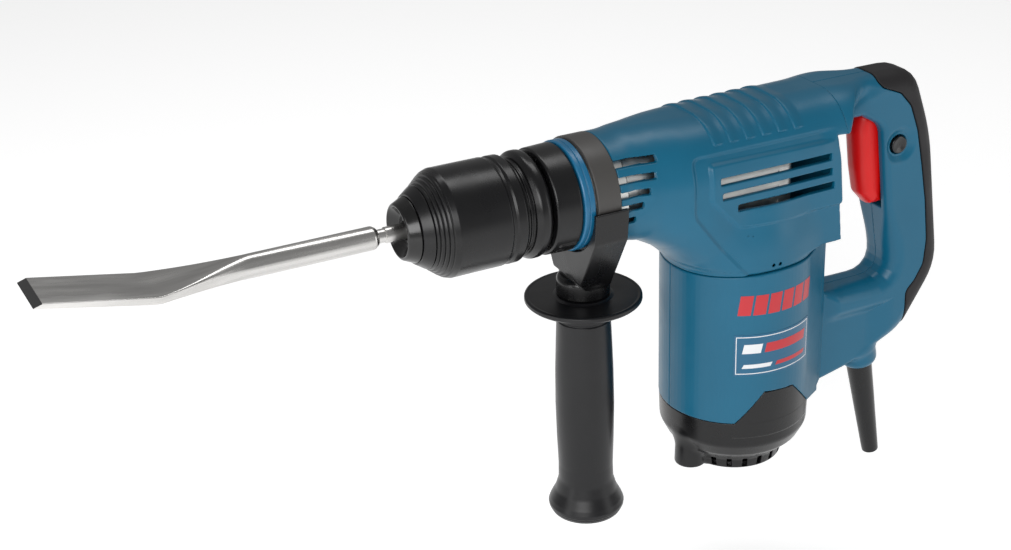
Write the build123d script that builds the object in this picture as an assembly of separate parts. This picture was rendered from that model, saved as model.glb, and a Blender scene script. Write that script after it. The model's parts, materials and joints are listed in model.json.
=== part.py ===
from build123d import *
import math
import os

# Electric chipping hammer with a 10 mm grooved shank, D-handle and side handle.
# Frame: origin at the middle of the nose of the tool holder, on the barrel axis.
# -X points to the chisel's edge, +X to the rear handle, +Z up. Millimetres.

# ---- driving dimensions -------------------------------------------------------
FIT = 0.08                  # radial clearance of a running fit
GAP = 0.3                   # space kept between parts that don't touch
WALL = 3.0                  # plastic shell thickness

SHANK_R = 5.0               # chisel shank
SHAFT_R = 7.3               # chisel shaft in front of the chuck
SHANK_END = 46.0            # how far the shank reaches into the holder
BLADE_WIDTH = 38.0
BLADE_THICK = 3.8
BLADE_BEND = 11.3           # degrees, upward
BLADE_ROOT_X = -150.0
BLADE_LENGTH = 71.0
CHISEL_PLAY = 8.0           # axial play that the shank's closed grooves allow

BALL_R = 3.5
BALL_X = 20.0
BALL_ORBIT = 6.6            # radius of the locked balls' centres
GROOVE_R = 3.65
CONE_SLOPE = 0.5            # radial ball travel per sleeve travel
SLEEVE_TRAVEL = 4.0

TUBE_R = 9.6                # tool holder, front
HOLDER_R = 14.0             # tool holder, middle
JOURNAL_R = 17.0            # tool holder, rear bearing
BOLT_BORE_R = 9.1
SLEEVE_R = 33.8
COLLAR_R = 35.0
BAND_R = 36.2
NECK_R = 33.0

HAMMER_BORE_R = 12.0
HAMMER_TUBE_R = 14.5
PISTON_X = 158.0
WRIST_X = 168.0
ROD_LENGTH = 36.0
CRANK_X = 214.0
CRANK_THROW = 10.0
GEAR_MODULE = 0.9
GEAR_TEETH = 54
PINION_TEETH = 6

MOTOR_X = CRANK_X + GEAR_MODULE * (GEAR_TEETH + PINION_TEETH) / 2
MOTOR_R = 51.0
HOOD_BOTTOM = -64.0
CAP_SEAM = -171.0
CAP_TAB = -149.0
CAP_BOTTOM = -213.0
HOOD_REAR = 297.0
BLOCK_REAR = 292.0
BLOCK_HALF = 36.0

HANDLE_X = 125.0            # side handle's axis
FLANGE_Z = -70.4
FLANGE_R = 37.8

GRIP_HALF = 18.0            # half thickness of the D-handle
PAD_THICK = 7.0
TRIGGER_HALF = 10.0
TRIGGER_PIVOT = (349.0, 6.0)
LOCK_X, LOCK_Z = 358.0, -11.0

CORD_TOP = (347.0, -176.0)      # axis of the cord sleeve, in X and Z
CORD_END = (362.5, -255.5)
CORD_BORE_R = 3.9

Z_UP = Rot(0, -90, 0)       # turns +X into +Z


# ---- helpers ------------------------------------------------------------------
def turned(outline):
    """Solid of revolution about the barrel axis from (x, radius) corners."""
    face = make_face(Polyline(*[(x, r) for x, r in outline], close=True))
    return revolve(face, Axis.X)


def upright(outline, x, y=0.0):
    """Solid of revolution about a vertical axis from (z, radius) corners."""
    return Pos(x, y, 0) * Z_UP * turned(outline)


def tube(x0, x1, outer, inner):
    return turned([(x0, inner), (x1, inner), (x1, outer), (x0, outer)])


def rod(x0, x1, radius, y=0.0, z=0.0):
    """Round bar along X."""
    return Pos((x0 + x1) / 2, y, z) * Rot(0, 90, 0) * Cylinder(radius, x1 - x0)


def post(x, y, z0, z1, radius):
    """Round bar along Z."""
    return Pos(x, y, (z0 + z1) / 2) * Cylinder(radius, z1 - z0)


def cross(x, z, y0, y1, radius):
    """Round bar along Y."""
    return Pos(x, (y0 + y1) / 2, z) * Rot(90, 0, 0) * Cylinder(radius, y1 - y0)


def block(x0, x1, y0, y1, z0, z1):
    centre = Pos((x0 + x1) / 2, (y0 + y1) / 2, (z0 + z1) / 2)
    return centre * Box(x1 - x0, y1 - y0, z1 - z0)


def side_profile(points, half, y=0.0):
    """Plate between y - half and y + half with an (x, z) outline."""
    return side_plate(make_face(Polyline(*points, close=True)), half, y)


def side_plate(face, half, y=0.0):
    return Pos(0, y, 0) * Rot(90, 0, 0) * extrude(face, half, both=True)


def around(count, radius, phase=0.0):
    """(x, y) places spread evenly on a circle."""
    for i in range(count):
        a = math.radians(phase + 360 * i / count)
        yield radius * math.cos(a), radius * math.sin(a)


def gather(solids):
    """One node made of several separate solids."""
    return Compound(children=list(solids))


def bearing(x, z0, z1, inner, outer):
    """Ball bearing on a vertical shaft: outer ring with its balls, and inner ring."""
    middle = (inner + outer) / 2
    ball = (outer - inner) / 4 - 0.2
    height = (z0 + z1) / 2
    groove = Pos(x, 0, height) * Torus(middle, ball + 0.05)
    rim = upright([(z0, middle + ball * 0.6), (z1, middle + ball * 0.6), (z1, outer), (z0, outer)], x)
    hub = upright([(z0, inner), (z1, inner), (z1, middle - ball * 0.6), (z0, middle - ball * 0.6)], x)
    balls = [Pos(x + px, py, height) * Sphere(ball) for px, py in around(8, middle)]
    return gather([rim - groove] + balls), hub - groove


# ---- chisel -------------------------------------------------------------------
def chisel():
    sections = [(-94.0, 14.6, 14.6, 7.2), (-112.0, 18.0, 12.6, 5.6),
                (-131.0, 31.0, 7.4, 2.8), (BLADE_ROOT_X, BLADE_WIDTH, 4.6, 1.2)]
    faces = [Plane(origin=(x, 0, 0), x_dir=(0, 1, 0), z_dir=(1, 0, 0)) * RectangleRounded(w, h, r)
             for x, w, h, r in sections]
    bend = math.radians(BLADE_BEND)
    run = (math.cos(bend), math.sin(bend))
    tip = Plane(origin=(BLADE_ROOT_X - BLADE_LENGTH * run[0], 0, BLADE_LENGTH * run[1]),
                x_dir=(0, 1, 0), z_dir=(run[0], 0, -run[1]))
    blade = loft([faces[-1], tip * RectangleRounded(BLADE_WIDTH, BLADE_THICK, 1.2)], ruled=True)
    ground = Pos(0, 0.3 - BLADE_THICK / 2, 0) * Rot(-37, 0, 0) * Pos(0, 10, 0)
    ground = tip * ground * Box(BLADE_WIDTH + 4, 20, 40)
    neck = turned([(-17.0, 0), (-17.0, 6.3), (-16.0, SHAFT_R), (-16.0, 0)])
    body = loft(faces, ruled=True)
    body += blade - ground
    body += rod(-94.5, -16.0, SHAFT_R)
    body -= turned([(-16.9, SHAFT_R + 1), (-15.9, SHAFT_R + 1), (-15.9, 6.0)])
    body += turned([(-16.5, 0), (-16.5, 4.6), (-12.5, 4.6), (-11.5, SHANK_R),
                    (SHANK_END - 1, SHANK_R), (SHANK_END, SHANK_R - 1), (SHANK_END, 0)])
    for side in (1, -1):
        z = side * BALL_ORBIT
        body -= rod(BALL_X - CHISEL_PLAY, BALL_X, GROOVE_R, 0, z)
        body -= Pos(BALL_X - CHISEL_PLAY, 0, z) * Sphere(GROOVE_R)
        body -= Pos(BALL_X, 0, z) * Sphere(GROOVE_R)
        y = sorted((side * 3.0, side * 6.0))
        body -= block(12.0, SHANK_END + 1, y[0], y[1], -1.5, 1.5)
    return body


# ---- chuck --------------------------------------------------------------------
def tool_holder():
    body = turned([(6, SHANK_R + FIT), (6, TUBE_R), (34, TUBE_R), (34, 11), (44, 11), (44, 16.5),
                   (48, 16.5), (48, HOLDER_R), (66, HOLDER_R), (66, 29.8), (69, 29.8),
                   (69, HOLDER_R), (96, HOLDER_R), (96, JOURNAL_R), (114, JOURNAL_R),
                   (114, 20.0), (118, 20.0), (118, BOLT_BORE_R), (50, BOLT_BORE_R),
                   (50, SHANK_R + FIT)])
    body -= post(BALL_X, 0, -TUBE_R - 1, TUBE_R + 1, BALL_R + FIT)
    for y0, y1 in ((3.3, 6.0), (-6.0, -3.3)):
        body += block(26, 42, y0, y1, -1.3, 1.3)
    return body


def dust_cap():
    lip = [(4.6, 5.6), (5.0, 12.0), (0.9, 15.2), (0.0, 16.4), (0.9, 17.6), (7.2, 20.4),
           (7.6, 19.4), (11.8, 19.4), (11.8, TUBE_R), (6.0, TUBE_R), (6.0, 5.6)]
    return turned(lip)


def stop_ring():
    return tube(12.0, 13.7, 16.0, TUBE_R)


def locking_sleeve():
    ridges = []
    x, r = 15.0, 27.0
    for _ in range(4):
        ridges += [(x, r), (x + 0.4, r - 0.5), (x + 0.8, r + 0.2)]
        x, r = x + 1.9, r + 1.4
    outline = [(8.0, 20.3), (8.0, 21.6)] + ridges
    outline += [(22.8, 32.7), (25.0, SLEEVE_R), (60.5, SLEEVE_R), (62.0, 32.4), (63.4, 32.4),
                (65.0, 33.6), (70.5, 33.6), (72.0, 32.4), (72.0, 30.2), (30.0, 30.2),
                (27.0, 26.0), (26.0, 20.3)]
    return turned(outline)


def locking_ring():
    """Steel ring inside the sleeve whose cone presses the balls into the shank."""
    def cone(x):
        return BALL_ORBIT + (BALL_R + FIT) / math.cos(math.atan(CONE_SLOPE)) + CONE_SLOPE * (BALL_X - x)
    end = 26.0
    land = TUBE_R + FIT
    start = BALL_X + (cone(BALL_X) - land) / CONE_SLOPE
    return turned([(14.0, cone(14.0)), (start, land), (end, land), (end, 20.3), (14.0, 20.3)])


def locking_ball(side):
    return Pos(BALL_X, 0, side * BALL_ORBIT) * Sphere(BALL_R)


def coil(x0, x1, radius, wire, turns):
    """Compression spring drawn as closed turns side by side along X."""
    pitch = (x1 - x0 - 2 * wire) / (turns - 1)
    return gather(Pos(x0 + wire + i * pitch, 0, 0) * Rot(0, 90, 0) * Torus(radius, wire)
                  for i in range(turns))


def holder_ring():
    return turned([(69.2, HOLDER_R), (69.2, 29.6), (74.4, 29.6), (74.8, 30.0), (75.6, 30.0),
                   (76.0, 29.6), (77.5, 29.6), (77.5, 32.3), (79.0, 33.5), (87.0, 33.5),
                   (88.4, 32.2), (88.4, HOLDER_R)])


def adjusting_ring():
    body = turned([(90.4, HOLDER_R + FIT), (90.4, 31.8), (91.4, 33.6), (105.8, 34.2), (107.6, 33.4),
                   (107.6, 29.0), (94.0, 29.0), (94.0, HOLDER_R + FIT)])
    mark = Pos(99.5, -20.0, -29.0) * Rot(0, 0, 0) * Rot(-55, 0, 0) * Box(9, 5, 2)
    return body - mark


def front_collar():
    return turned([(108.6, 27.1), (108.6, 34.2), (109.4, COLLAR_R), (112.0, COLLAR_R),
                   (112.3, 34.6), (112.6, COLLAR_R), (115.6, COLLAR_R), (116.0, 34.6),
                   (116.0, 27.1)])


# ---- hammer mechanism ---------------------------------------------------------
def impact_bolt():
    return turned([(54.5, 0), (54.5, 5.6), (55.1, 6.2), (68.0, 6.2), (69.0, BOLT_BORE_R - FIT),
                   (79.0, BOLT_BORE_R - FIT), (80.0, 6.5), (95.0, 6.5), (96.0, 5.5), (96.0, 0)])


def hammer_tube():
    return tube(119.4, 188.0, HAMMER_TUBE_R, HAMMER_BORE_R)


def ram():
    r = HAMMER_BORE_R - FIT
    return turned([(104.0, 0), (104.0, 6.5), (105.0, 7.5), (122.0, 7.5), (123.0, r), (131.0, r),
                   (131.0, r - 1.8), (133.2, r - 1.8), (133.2, r), (144.0, r), (144.0, 0)])


def piston():
    r = HAMMER_BORE_R - FIT
    body = turned([(PISTON_X, 0), (PISTON_X, r), (160.4, r), (160.4, r - 1.8), (162.6, r - 1.8),
                   (162.6, r), (178.0, r), (178.0, 9.0), (161.8, 9.0), (161.8, 0)])
    return body - post(WRIST_X, 0, -13, 13, 3.0)


def seal_ring(x0, x1):
    r = HAMMER_BORE_R - FIT
    return tube(x0, x1, r + 0.03, r - 1.8)


def wrist_pin():
    return post(WRIST_X, 0, -11.0, 11.0, 3.0)


def connecting_rod():
    pin_x = WRIST_X + ROD_LENGTH
    body = post(WRIST_X, 0, -3, 3, 5.6)
    body += post(pin_x, 0, -3, 3, 7.5)
    body += block(WRIST_X, pin_x, -3.6, 3.6, -3, 3)
    body += post(pin_x, 0, -8.6, 4.0, 4.0)
    return body - post(WRIST_X, 0, -4, 4, 3.0 + FIT)


def toothed(x, z0, z1, teeth, centre_turn):
    """Spur gear with plain trapezoid teeth about a vertical axis."""
    pitch_r = GEAR_MODULE * teeth / 2
    outer = pitch_r + 0.72 * GEAR_MODULE
    root = pitch_r - 1.0 * GEAR_MODULE
    half = 90 / teeth
    points = []
    for i in range(teeth):
        mid = centre_turn + 360 * i / teeth
        for r, a in ((root, -half * 1.25), (outer, -half * 0.42), (outer, half * 0.42),
                     (root, half * 1.25)):
            t = math.radians(mid + a)
            points.append((x + r * math.cos(t), r * math.sin(t)))
    return Pos(0, 0, z0) * extrude(make_face(Polyline(*points, close=True)), z1 - z0)


def crank_gear():
    body = toothed(CRANK_X, -26, -16, GEAR_TEETH, 180 / GEAR_TEETH)
    body += post(CRANK_X, 0, -16, -9, 15.0)
    body += post(CRANK_X, 0, -45, -26, 5.0)
    for px, py in around(5, 19.0, 36.0):
        body -= post(CRANK_X + px, py, -27, -15, 2.6)
    return body


# ---- aluminium gear case ------------------------------------------------------
def gear_housing():
    body = turned([(97, JOURNAL_R + FIT), (97, 27), (116.2, 27), (116.2, NECK_R), (139.6, NECK_R),
                   (142, 30), (176, 30), (190, 24), (190, HAMMER_TUBE_R), (119.2, HAMMER_TUBE_R),
                   (119.2, 20.4), (113.8, 20.4), (113.8, JOURNAL_R + FIT)])
    case = block(184, 262, -33, 33, -46, 17)
    case = fillet(case.edges().filter_by(Axis.Z), 6)
    flange = post(MOTOR_X, 0, -46, -41, 44)
    body += case + flange
    body -= block(187.5, 254, -28, 28, -28.5, 18)
    body -= rod(119.2, 192, HAMMER_TUBE_R)
    body -= post(CRANK_X, 0, -41, -28, 11.0)
    body -= post(CRANK_X, 0, -46.1, -40, 5.6)
    body -= post(MOTOR_X, 0, -47, -28, 6.0)
    for z in range(-38, 14, 10):
        for side in (1, -1):
            y0, y1 = sorted((side * 31.8, side * 34))
            body -= block(196, 250, y0, y1, z, z + 7)
    for px, py in SHIELD_SCREWS:
        body -= post(MOTOR_X + px, py, -47, -40, 2.2)
    for x, y in COVER_SCREWS:
        body -= post(x, y, 5, 18, 2.0)
    return body


COVER_SCREWS = [(x, y) for x in (196.0, 250.0) for y in (-30.6, 30.6)]
SHIELD_SCREWS = [(39.0 * math.cos(math.radians(a)), 39.0 * math.sin(math.radians(a)))
                 for a in (50, 100, -50, -100)]


def gear_cover():
    plate = block(190.3, 262, -33, 33, 17, 20)
    plate = fillet(plate.edges().filter_by(Axis.Z), 4)
    for x, y in COVER_SCREWS:
        plate -= post(x, y, 16, 21, 2.2)
    return plate


def socket_screw(x, y, z_seat, length):
    """Socket-head screw pointing down, with its head on z_seat."""
    radius = 1.9
    head = post(x, y, z_seat, z_seat + 3, 3.4) - post(x, y, z_seat + 1, z_seat + 3, 1.5)
    return head + post(x, y, z_seat - length, z_seat, radius)


def case_screws():
    """Screws of the gear cover and of the bearing shield."""
    cover = [socket_screw(x, y, 20.0, 14.0) for x, y in COVER_SCREWS]
    shield = [socket_screw(MOTOR_X + x, y, -41.0, 30.0) for x, y in SHIELD_SCREWS]
    return gather(cover + shield)


def bearing_shield():
    body = upright([(-50, 13.5), (-46, 13.5), (-46, 44), (-58, 44), (-58, 38), (-50, 38)], MOTOR_X)
    body += upright([(-46, 6.5), (-46, 15), (-56, 15), (-56, 11), (-48, 11), (-48, 6.5)], MOTOR_X)
    for px, py in around(8, 26.0, 22.5):
        body -= post(MOTOR_X + px, py, -51, -45, 6.5)
    for px, py in SHIELD_SCREWS:
        body -= post(MOTOR_X + px, py, -59, -45, 2.2)
    return body


# ---- motor --------------------------------------------------------------------
def armature_shaft():
    body = upright([(-173, 0), (-173, 3.2), (-172, 4.0), (-31, 4.0), (-31, 0)], MOTOR_X)
    return body + toothed(MOTOR_X, -31, -14, PINION_TEETH, 180)


def armature_core():
    body = post(MOTOR_X, 0, -126, -80, 22.5) - post(MOTOR_X, 0, -127, -79, 4.0)
    for px, py in around(12, 21.2):
        body -= post(MOTOR_X + px, py, -127, -79, 1.6)
    return body


def armature_winding():
    body = upright([(-80, 4.0), (-80, 20), (-75, 17), (-74, 8), (-74, 4.0)], MOTOR_X)
    lower = upright([(-126, 4.0), (-126, 20), (-131, 17), (-134, 12), (-134, 4.0)], MOTOR_X)
    return gather([body, lower])


def commutator():
    body = upright([(-157, 4.0), (-134, 4.0), (-134, 14.5), (-137, 14.5), (-137, 12.5),
                    (-157, 12.5)], MOTOR_X)
    for px, py in around(24, 12.6):
        body -= post(MOTOR_X + px, py, -158, -138, 0.35)
    return body


def cooling_fan():
    body = upright([(-62, 4.0), (-62, 9), (-64, 33), (-65.5, 33), (-65.5, 11), (-72, 11),
                    (-72, 4.0)], MOTOR_X)
    for i in range(14):
        blade = Rot(0, 0, 360 * i / 14) * Pos(22, 0, -69) * Rot(0, 0, 28) * Box(20, 1.6, 7)
        body += Pos(MOTOR_X, 0, 0) * blade
    return body & post(MOTOR_X, 0, -72.5, -60, 33)


def coil_frame(side, grow=0.0):
    """Saddle-shaped field coil bent around one pole."""
    outer = Pos(0, side * 32, -103) * Box(56 + grow, 14 + grow, 60 + grow)
    inner = Pos(0, side * 32, -103) * Box(34 - grow, 16 + grow, 47 - grow)
    ring = post(0, 0, -150, -60, 40.5 + grow) - post(0, 0, -151, -59, 27 - grow)
    return Pos(MOTOR_X, 0, 0) * ((outer - inner) & ring)


def stator():
    body = post(MOTOR_X, 0, -126, -80, 45) - post(MOTOR_X, 0, -127, -79, 23.2)
    for side in (1, -1):
        body -= coil_frame(side, 0.4)
        x = MOTOR_X + side * 36
        body -= block(x - 9, x + 9, -14, 14, -127, -79)
    return body


def field_coils():
    return gather([coil_frame(1), coil_frame(-1)])


def brush_holders():
    made = []
    for side in (1, -1):
        y0, y1 = sorted((side * 15.5, side * 40))
        x0 = MOTOR_X - 6.5
        body = block(x0, x0 + 13, y0, y1, -152, -142)
        ends = sorted((side * 14, side * 38))
        body -= block(MOTOR_X - 4.6, MOTOR_X + 4.6, ends[0], ends[1], -150.1, -143.9)
        made.append(body)
    return gather(made)


def carbon_brushes():
    made = []
    for side in (1, -1):
        y0, y1 = sorted((side * 12.7, side * 28))
        made.append(block(MOTOR_X - 4.5, MOTOR_X + 4.5, y0, y1, -150, -144))
    return gather(made)


def motor_housing():
    outer = post(MOTOR_X, 0, CAP_SEAM, HOOD_BOTTOM - 0.2, MOTOR_R)
    rear = block(MOTOR_X, BLOCK_REAR, -BLOCK_HALF, BLOCK_HALF, CAP_SEAM, -58.2)
    rear = fillet(rear.edges().filter_by(Axis.Z), 7)
    rear -= post(MOTOR_X, 0, HOOD_BOTTOM - 0.2, -50, MOTOR_R + 0.2)
    wedge = side_profile([(BLOCK_REAR + 1, -160), (BLOCK_REAR + 1, -180), (270, -180)], 40)
    body = outer + (rear - wedge)
    body -= post(MOTOR_X, 0, CAP_SEAM - 1, -58, MOTOR_R - WALL)
    body -= block(MOTOR_X + 30, BLOCK_REAR - WALL, -BLOCK_HALF + WALL, BLOCK_HALF - WALL,
                  CAP_SEAM + WALL, -58.2 - WALL)
    notch = side_profile([(222, CAP_SEAM - 1), (234, CAP_TAB), (252, CAP_TAB), (267, CAP_SEAM - 1)], 60)
    body -= notch & post(MOTOR_X, 0, -175, -140, MOTOR_R + 1)
    core = post(MOTOR_X, 0, -80, -60, MOTOR_R - 1)
    for px, py in SHIELD_SCREWS:
        lug = post(MOTOR_X + px, py, -72, -58.2, 5.0)
        lug += post(MOTOR_X + px * 1.16, py * 1.16, -72, HOOD_BOTTOM - 0.2, 4.5) & core
        body += lug - post(MOTOR_X + px, py, -73, -58, 2.0)
    body += motor_bridge()
    return body


def motor_bridge():
    """Spider at the lower end that holds the bearing and the brush holders."""
    body = upright([(-175, 0), (-175, 13), (-163, 13), (-163, 9.5), (-172, 9.5), (-172, 5),
                    (-173.5, 5), (-173.5, 0)], MOTOR_X)
    for angle in (45, 135, 225, 315):
        arm = Rot(0, 0, angle) * Pos(30.2, 0, -168) * Box(36, 7, 6)
        body += Pos(MOTOR_X, 0, 0) * arm
    for side in (1, -1):
        y0, y1 = sorted((side * 40, side * 48.5))
        body += block(MOTOR_X - 8, MOTOR_X + 8, y0, y1, -148.8, -141)
    return body


def motor_cap():
    outline = [(CAP_SEAM - 0.3, MOTOR_R - 0.3), (-186, MOTOR_R - 0.8), (-194, 47.5), (-200, 42),
               (-203, 36), (-204, 31.5), (CAP_BOTTOM + 1, 31.0), (CAP_BOTTOM, 30.0),
               (CAP_BOTTOM, 0), (CAP_BOTTOM + 3, 0), (CAP_BOTTOM + 3, 28.0), (-201, 28.5),
               (-200, 33), (-197, 39), (-192, 44), (-186, 47.4), (CAP_SEAM - 0.3, 47.7)]
    body = upright(outline, MOTOR_X)
    tabs = side_profile([(222.6, CAP_SEAM - 1), (234.4, CAP_TAB - 0.3), (251.6, CAP_TAB - 0.3),
                         (266.2, CAP_SEAM - 1)], 60)
    wall = post(MOTOR_X, 0, -180, -140, MOTOR_R - 0.3) - post(MOTOR_X, 0, -181, -139, 48.2)
    body += tabs & wall
    for px, py in around(20, 30.5):
        angle = math.degrees(math.atan2(py, px))
        body -= Pos(MOTOR_X, 0, 0) * Rot(0, 0, angle) * Pos(30, 0, -208.5) * Box(8, 3.2, 7)
    lobe = post(LOBE[0], LOBE[1], -214, -196, 10.5) + post(LOBE[0], LOBE[1], -196, -188, 9)
    body += lobe - post(MOTOR_X, 0, -205, -150, 42)
    body -= post(LOBE[0], LOBE[1], -220, -212, 5.2)
    body -= post(LOBE[0], LOBE[1], -213, -187, 2.1)
    return body


LOBE = (203.0, -8.0)


def cap_fastener():
    head = post(LOBE[0], LOBE[1], -213.8, -212, 4.2) - post(LOBE[0], LOBE[1], -214, -212.8, 1.6)
    return head + post(LOBE[0], LOBE[1], -212, -190, 2.0)


# ---- housings -----------------------------------------------------------------
def hood_loft(inset, x_end):
    """(x, half width, top, bottom, corner radius) sections from the neck to the rear."""
    sections = [(138.6, 36.5, 36.5, -36.5, 36.3), (158, 38.5, 38.5, -38, 34),
                (170, 41, 41.5, -45, 30), (190, 44, 43.8, -58, 26), (x_end, 42, 43.8, -58, 24)]
    faces = []
    for x, half, top, bottom, radius in sections:
        plane = Plane(origin=(x, 0, (top + bottom) / 2), x_dir=(0, 1, 0), z_dir=(1, 0, 0))
        faces.append(plane * RectangleRounded(2 * (half - inset), top - bottom - 2 * inset,
                                              radius - inset))
    return loft(faces, ruled=True)


def hood_skirt(inset):
    outline = [(HOOD_BOTTOM - inset, 0), (HOOD_BOTTOM - inset, MOTOR_R - inset),
               (-50, MOTOR_R - inset), (-14, 43 - inset), (-14, 0)]
    return upright(outline, MOTOR_X) & block(160, 296 - inset, -60, 60, -80, 0)


def upper_housing():
    inside = hood_loft(WALL, HOOD_REAR) & block(100, HOOD_REAR - WALL, -60, 60, -80, 60)
    body = hood_loft(0, HOOD_REAR) + hood_skirt(0)
    body -= inside
    body -= hood_skirt(WALL)
    body -= rod(130, 145, NECK_R + 0.4)
    for side in (1, -1):
        for z, length in ((29, 22), (21, 23), (13, 21), (5, 17), (-3, 11)):
            y0, y1 = sorted((side * 10, side * 50))
            body -= block(137, 138 + length, y0, y1, z - 2.2, z + 2.2)
        y0, y1 = sorted((side * 32, side * 60))
        for x0, x1, z in ((199, 283, 3), (200, 284, -7), (216, 286, -17)):
            body -= block(x0, x1, y0, y1, z - 2, z + 2)
    body -= block(HOOD_REAR - WALL - 1, HOOD_REAR + 1, -8, 8, 24, 38)
    return body


def handle_outline():
    """Outer edge of the D-handle as an (x, z) face."""
    x0 = HOOD_REAR + GAP
    points = [(x0, 44), (370, 44), (388, -8), (401.5, -108), (372, -153.5), (340, -166), (x0, -176.5)]
    face = make_face(Polyline(*points, close=True))
    for corner, radius in ((points[1], 27), (points[2], 90), (points[3], 42), (points[4], 34)):
        vertex = face.vertices().sort_by_distance(Vector(corner[0], corner[1], 0))[0]
        face = fillet(vertex, radius)
    return face


def handle_opening():
    x0 = HOOD_REAR - 5
    points = [(x0, 17), (326, 15), (343, 6), (350.5, -57), (360, -110), (x0, -110)]
    face = make_face(Polyline(*points, close=True))
    for corner, radius in ((points[2], 12), (points[4], 15)):
        vertex = face.vertices().sort_by_distance(Vector(corner[0], corner[1], 0))[0]
        face = fillet(vertex, radius)
    return face


def pad_region():
    """Strip behind and above the grip that the rubber pad covers."""
    mask = make_face(Polyline((334, 60), (420, 60), (420, -150), (376, -158), (368, -128), (352, 20),
                              close=True))
    outline = handle_outline()
    return (outline - offset(outline, -PAD_THICK)) & mask


def handle_blank():
    """D-handle with its cord boss, without the pad, as one solid block."""
    body = side_plate(handle_outline() - handle_opening(), GRIP_HALF)
    body += sleeve_axis() * Cylinder(12.5, 30)
    body -= side_plate(pad_region(), GRIP_HALF + 1)
    return body


def sleeve_axis(along=0.0):
    """Place on the cord's axis, a distance below its top; local +Z points up it."""
    dx, dz = CORD_END[0] - CORD_TOP[0], CORD_END[1] - CORD_TOP[1]
    length = math.hypot(dx, dz)
    x = CORD_TOP[0] + dx * along / length
    z = CORD_TOP[1] + dz * along / length
    return Pos(x, 0, z + 9) * Rot(0, -math.degrees(math.atan2(dx, -dz)), 0)


HANDLE_SCREWS = [(312.0, 30.5), (350.0, 28.0), (378.0, -92.0), (352.0, -132.0), (312.0, -141.0)]


def handle_shell(side):
    """Half of the D-handle: side -1 is the trigger-lock side, +1 has the screw heads."""
    inner = offset(handle_outline() - handle_opening() - pad_region(), -WALL)
    body = handle_blank() - side_plate(inner, GRIP_HALF - WALL)
    for x, z in HANDLE_SCREWS:
        body += cross(x, z, -GRIP_HALF + 1, GRIP_HALF - 1, 4.6)
    body -= side_plate(make_face(Polyline((318, 16), (366, 16), (372, -57.5), (318, -57.5),
                                          close=True)), TRIGGER_HALF + 0.4)
    body -= block(HOOD_REAR, HOOD_REAR + 8, -8, 8, 24, 38)
    body -= sleeve_axis() * Pos(0, 0, -2) * Cylinder(9.3, 60)
    for x, z in HANDLE_SCREWS:
        body -= cross(x, z, -14, 20, 2.1)
        body -= cross(x, z, 13.0, 20, 4.0)
    body -= cross(LOCK_X, LOCK_Z, -20, -10, 6.2)
    body -= cross(LOCK_X, LOCK_Z, -20, -GRIP_HALF + 1.2, 10.5)
    body += cross(*TRIGGER_PIVOT, -GRIP_HALF + 1, -TRIGGER_HALF - 0.4, 4.0)
    body += cross(*TRIGGER_PIVOT, TRIGGER_HALF + 0.4, GRIP_HALF - 1, 4.0)
    body -= cross(*TRIGGER_PIVOT, -14, 14, 2.0)
    y0, y1 = sorted((0, side * 40))
    return body & block(280, 420, y0, y1, -210, 60)


def rear_pad():
    body = side_plate(pad_region(), GRIP_HALF - 0.6)
    return body


def strain_relief():
    """Tapered rubber sleeve with a through bore for the cord."""
    length = math.hypot(CORD_END[0] - CORD_TOP[0], CORD_END[1] - CORD_TOP[1])
    outline = [(2, CORD_BORE_R), (2, 9.0), (-6, 9.0), (-length + 3, 6.1),
               (-length + 1, 5.7), (-length, 4.9), (-length, CORD_BORE_R)]
    body = sleeve_axis() * Pos(0, 0, -9) * Z_UP * turned(outline)
    return body


def rating_label():
    ring = post(MOTOR_X, 0, -136, -105, MOTOR_R + 0.3) - post(MOTOR_X, 0, -137, -104, MOTOR_R)
    corner = MOTOR_R * math.cos(math.radians(54))
    return ring & block(MOTOR_X - corner, MOTOR_X + corner, -60, 0, -140, -100)


# ---- rear handle controls ---------------------------------------------------------
def trigger():
    outline = [(346, 14), (336, 14), (330.5, 9), (329, -3), (332.5, -28), (336.5, -48), (341, -55),
               (352, -55.5), (356, -48), (353, -6), (354, 10), (352, 13)]
    body = side_profile(outline, TRIGGER_HALF)
    front = body.edges().filter_by(Axis.Y).sort_by(Axis.X)[:2]
    body = fillet(front, 4)
    return body - cross(*TRIGGER_PIVOT, -12, 12, 2.0)


def trigger_pin():
    return cross(*TRIGGER_PIVOT, -13.8, 13.8, 2.0 - FIT)


def lock_button():
    body = cross(LOCK_X, LOCK_Z, -19.0, -14.8, 6.0)
    return body + cross(LOCK_X, LOCK_Z, -14.8, -13.0, 5.0)


def switch_module():
    return side_profile([(361, -10), (373, -10), (380, -50), (376, -54), (369, -54), (365.5, -50)], 9)


def noise_filter():
    return block(366, 380, -9, 9, -84, -62)


def terminal_block():
    body = block(322, 346, -9, 9, -132, -118)
    for x in (327, 334, 341):
        body -= post(x, 0, -133, -117, 1.6)
    return body


def cord_clamp():
    body = block(336, 356, -11, 11, -151, -146)
    return body - post(345, 0, -152, -145, 4.2)


def housing_screws():
    """Screws that hold the handle halves together, and the one under the motor cap."""
    made = [cap_fastener()]
    for x, z in HANDLE_SCREWS:
        head = cross(x, z, 13.2, 16.0, 3.7) - cross(x, z, 15.0, 16.2, 1.6)
        made.append(head + cross(x, z, -13.0, 13.2, 2.0))
    return gather(made)


# ---- side handle --------------------------------------------------------------
def clamp_band():
    body = tube(117.0, 137.6, BAND_R, NECK_R + 0.12)
    leg = block(117.5, 135.0, -8.0, 8.0, -50.0, -34.0)
    body += leg - rod(110, 140, NECK_R + 0.12)
    body -= post(HANDLE_X, 0, -51, -33, 4.2)
    body -= post(HANDLE_X, 0, -45.5, -33, 6.6)
    return body


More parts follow.
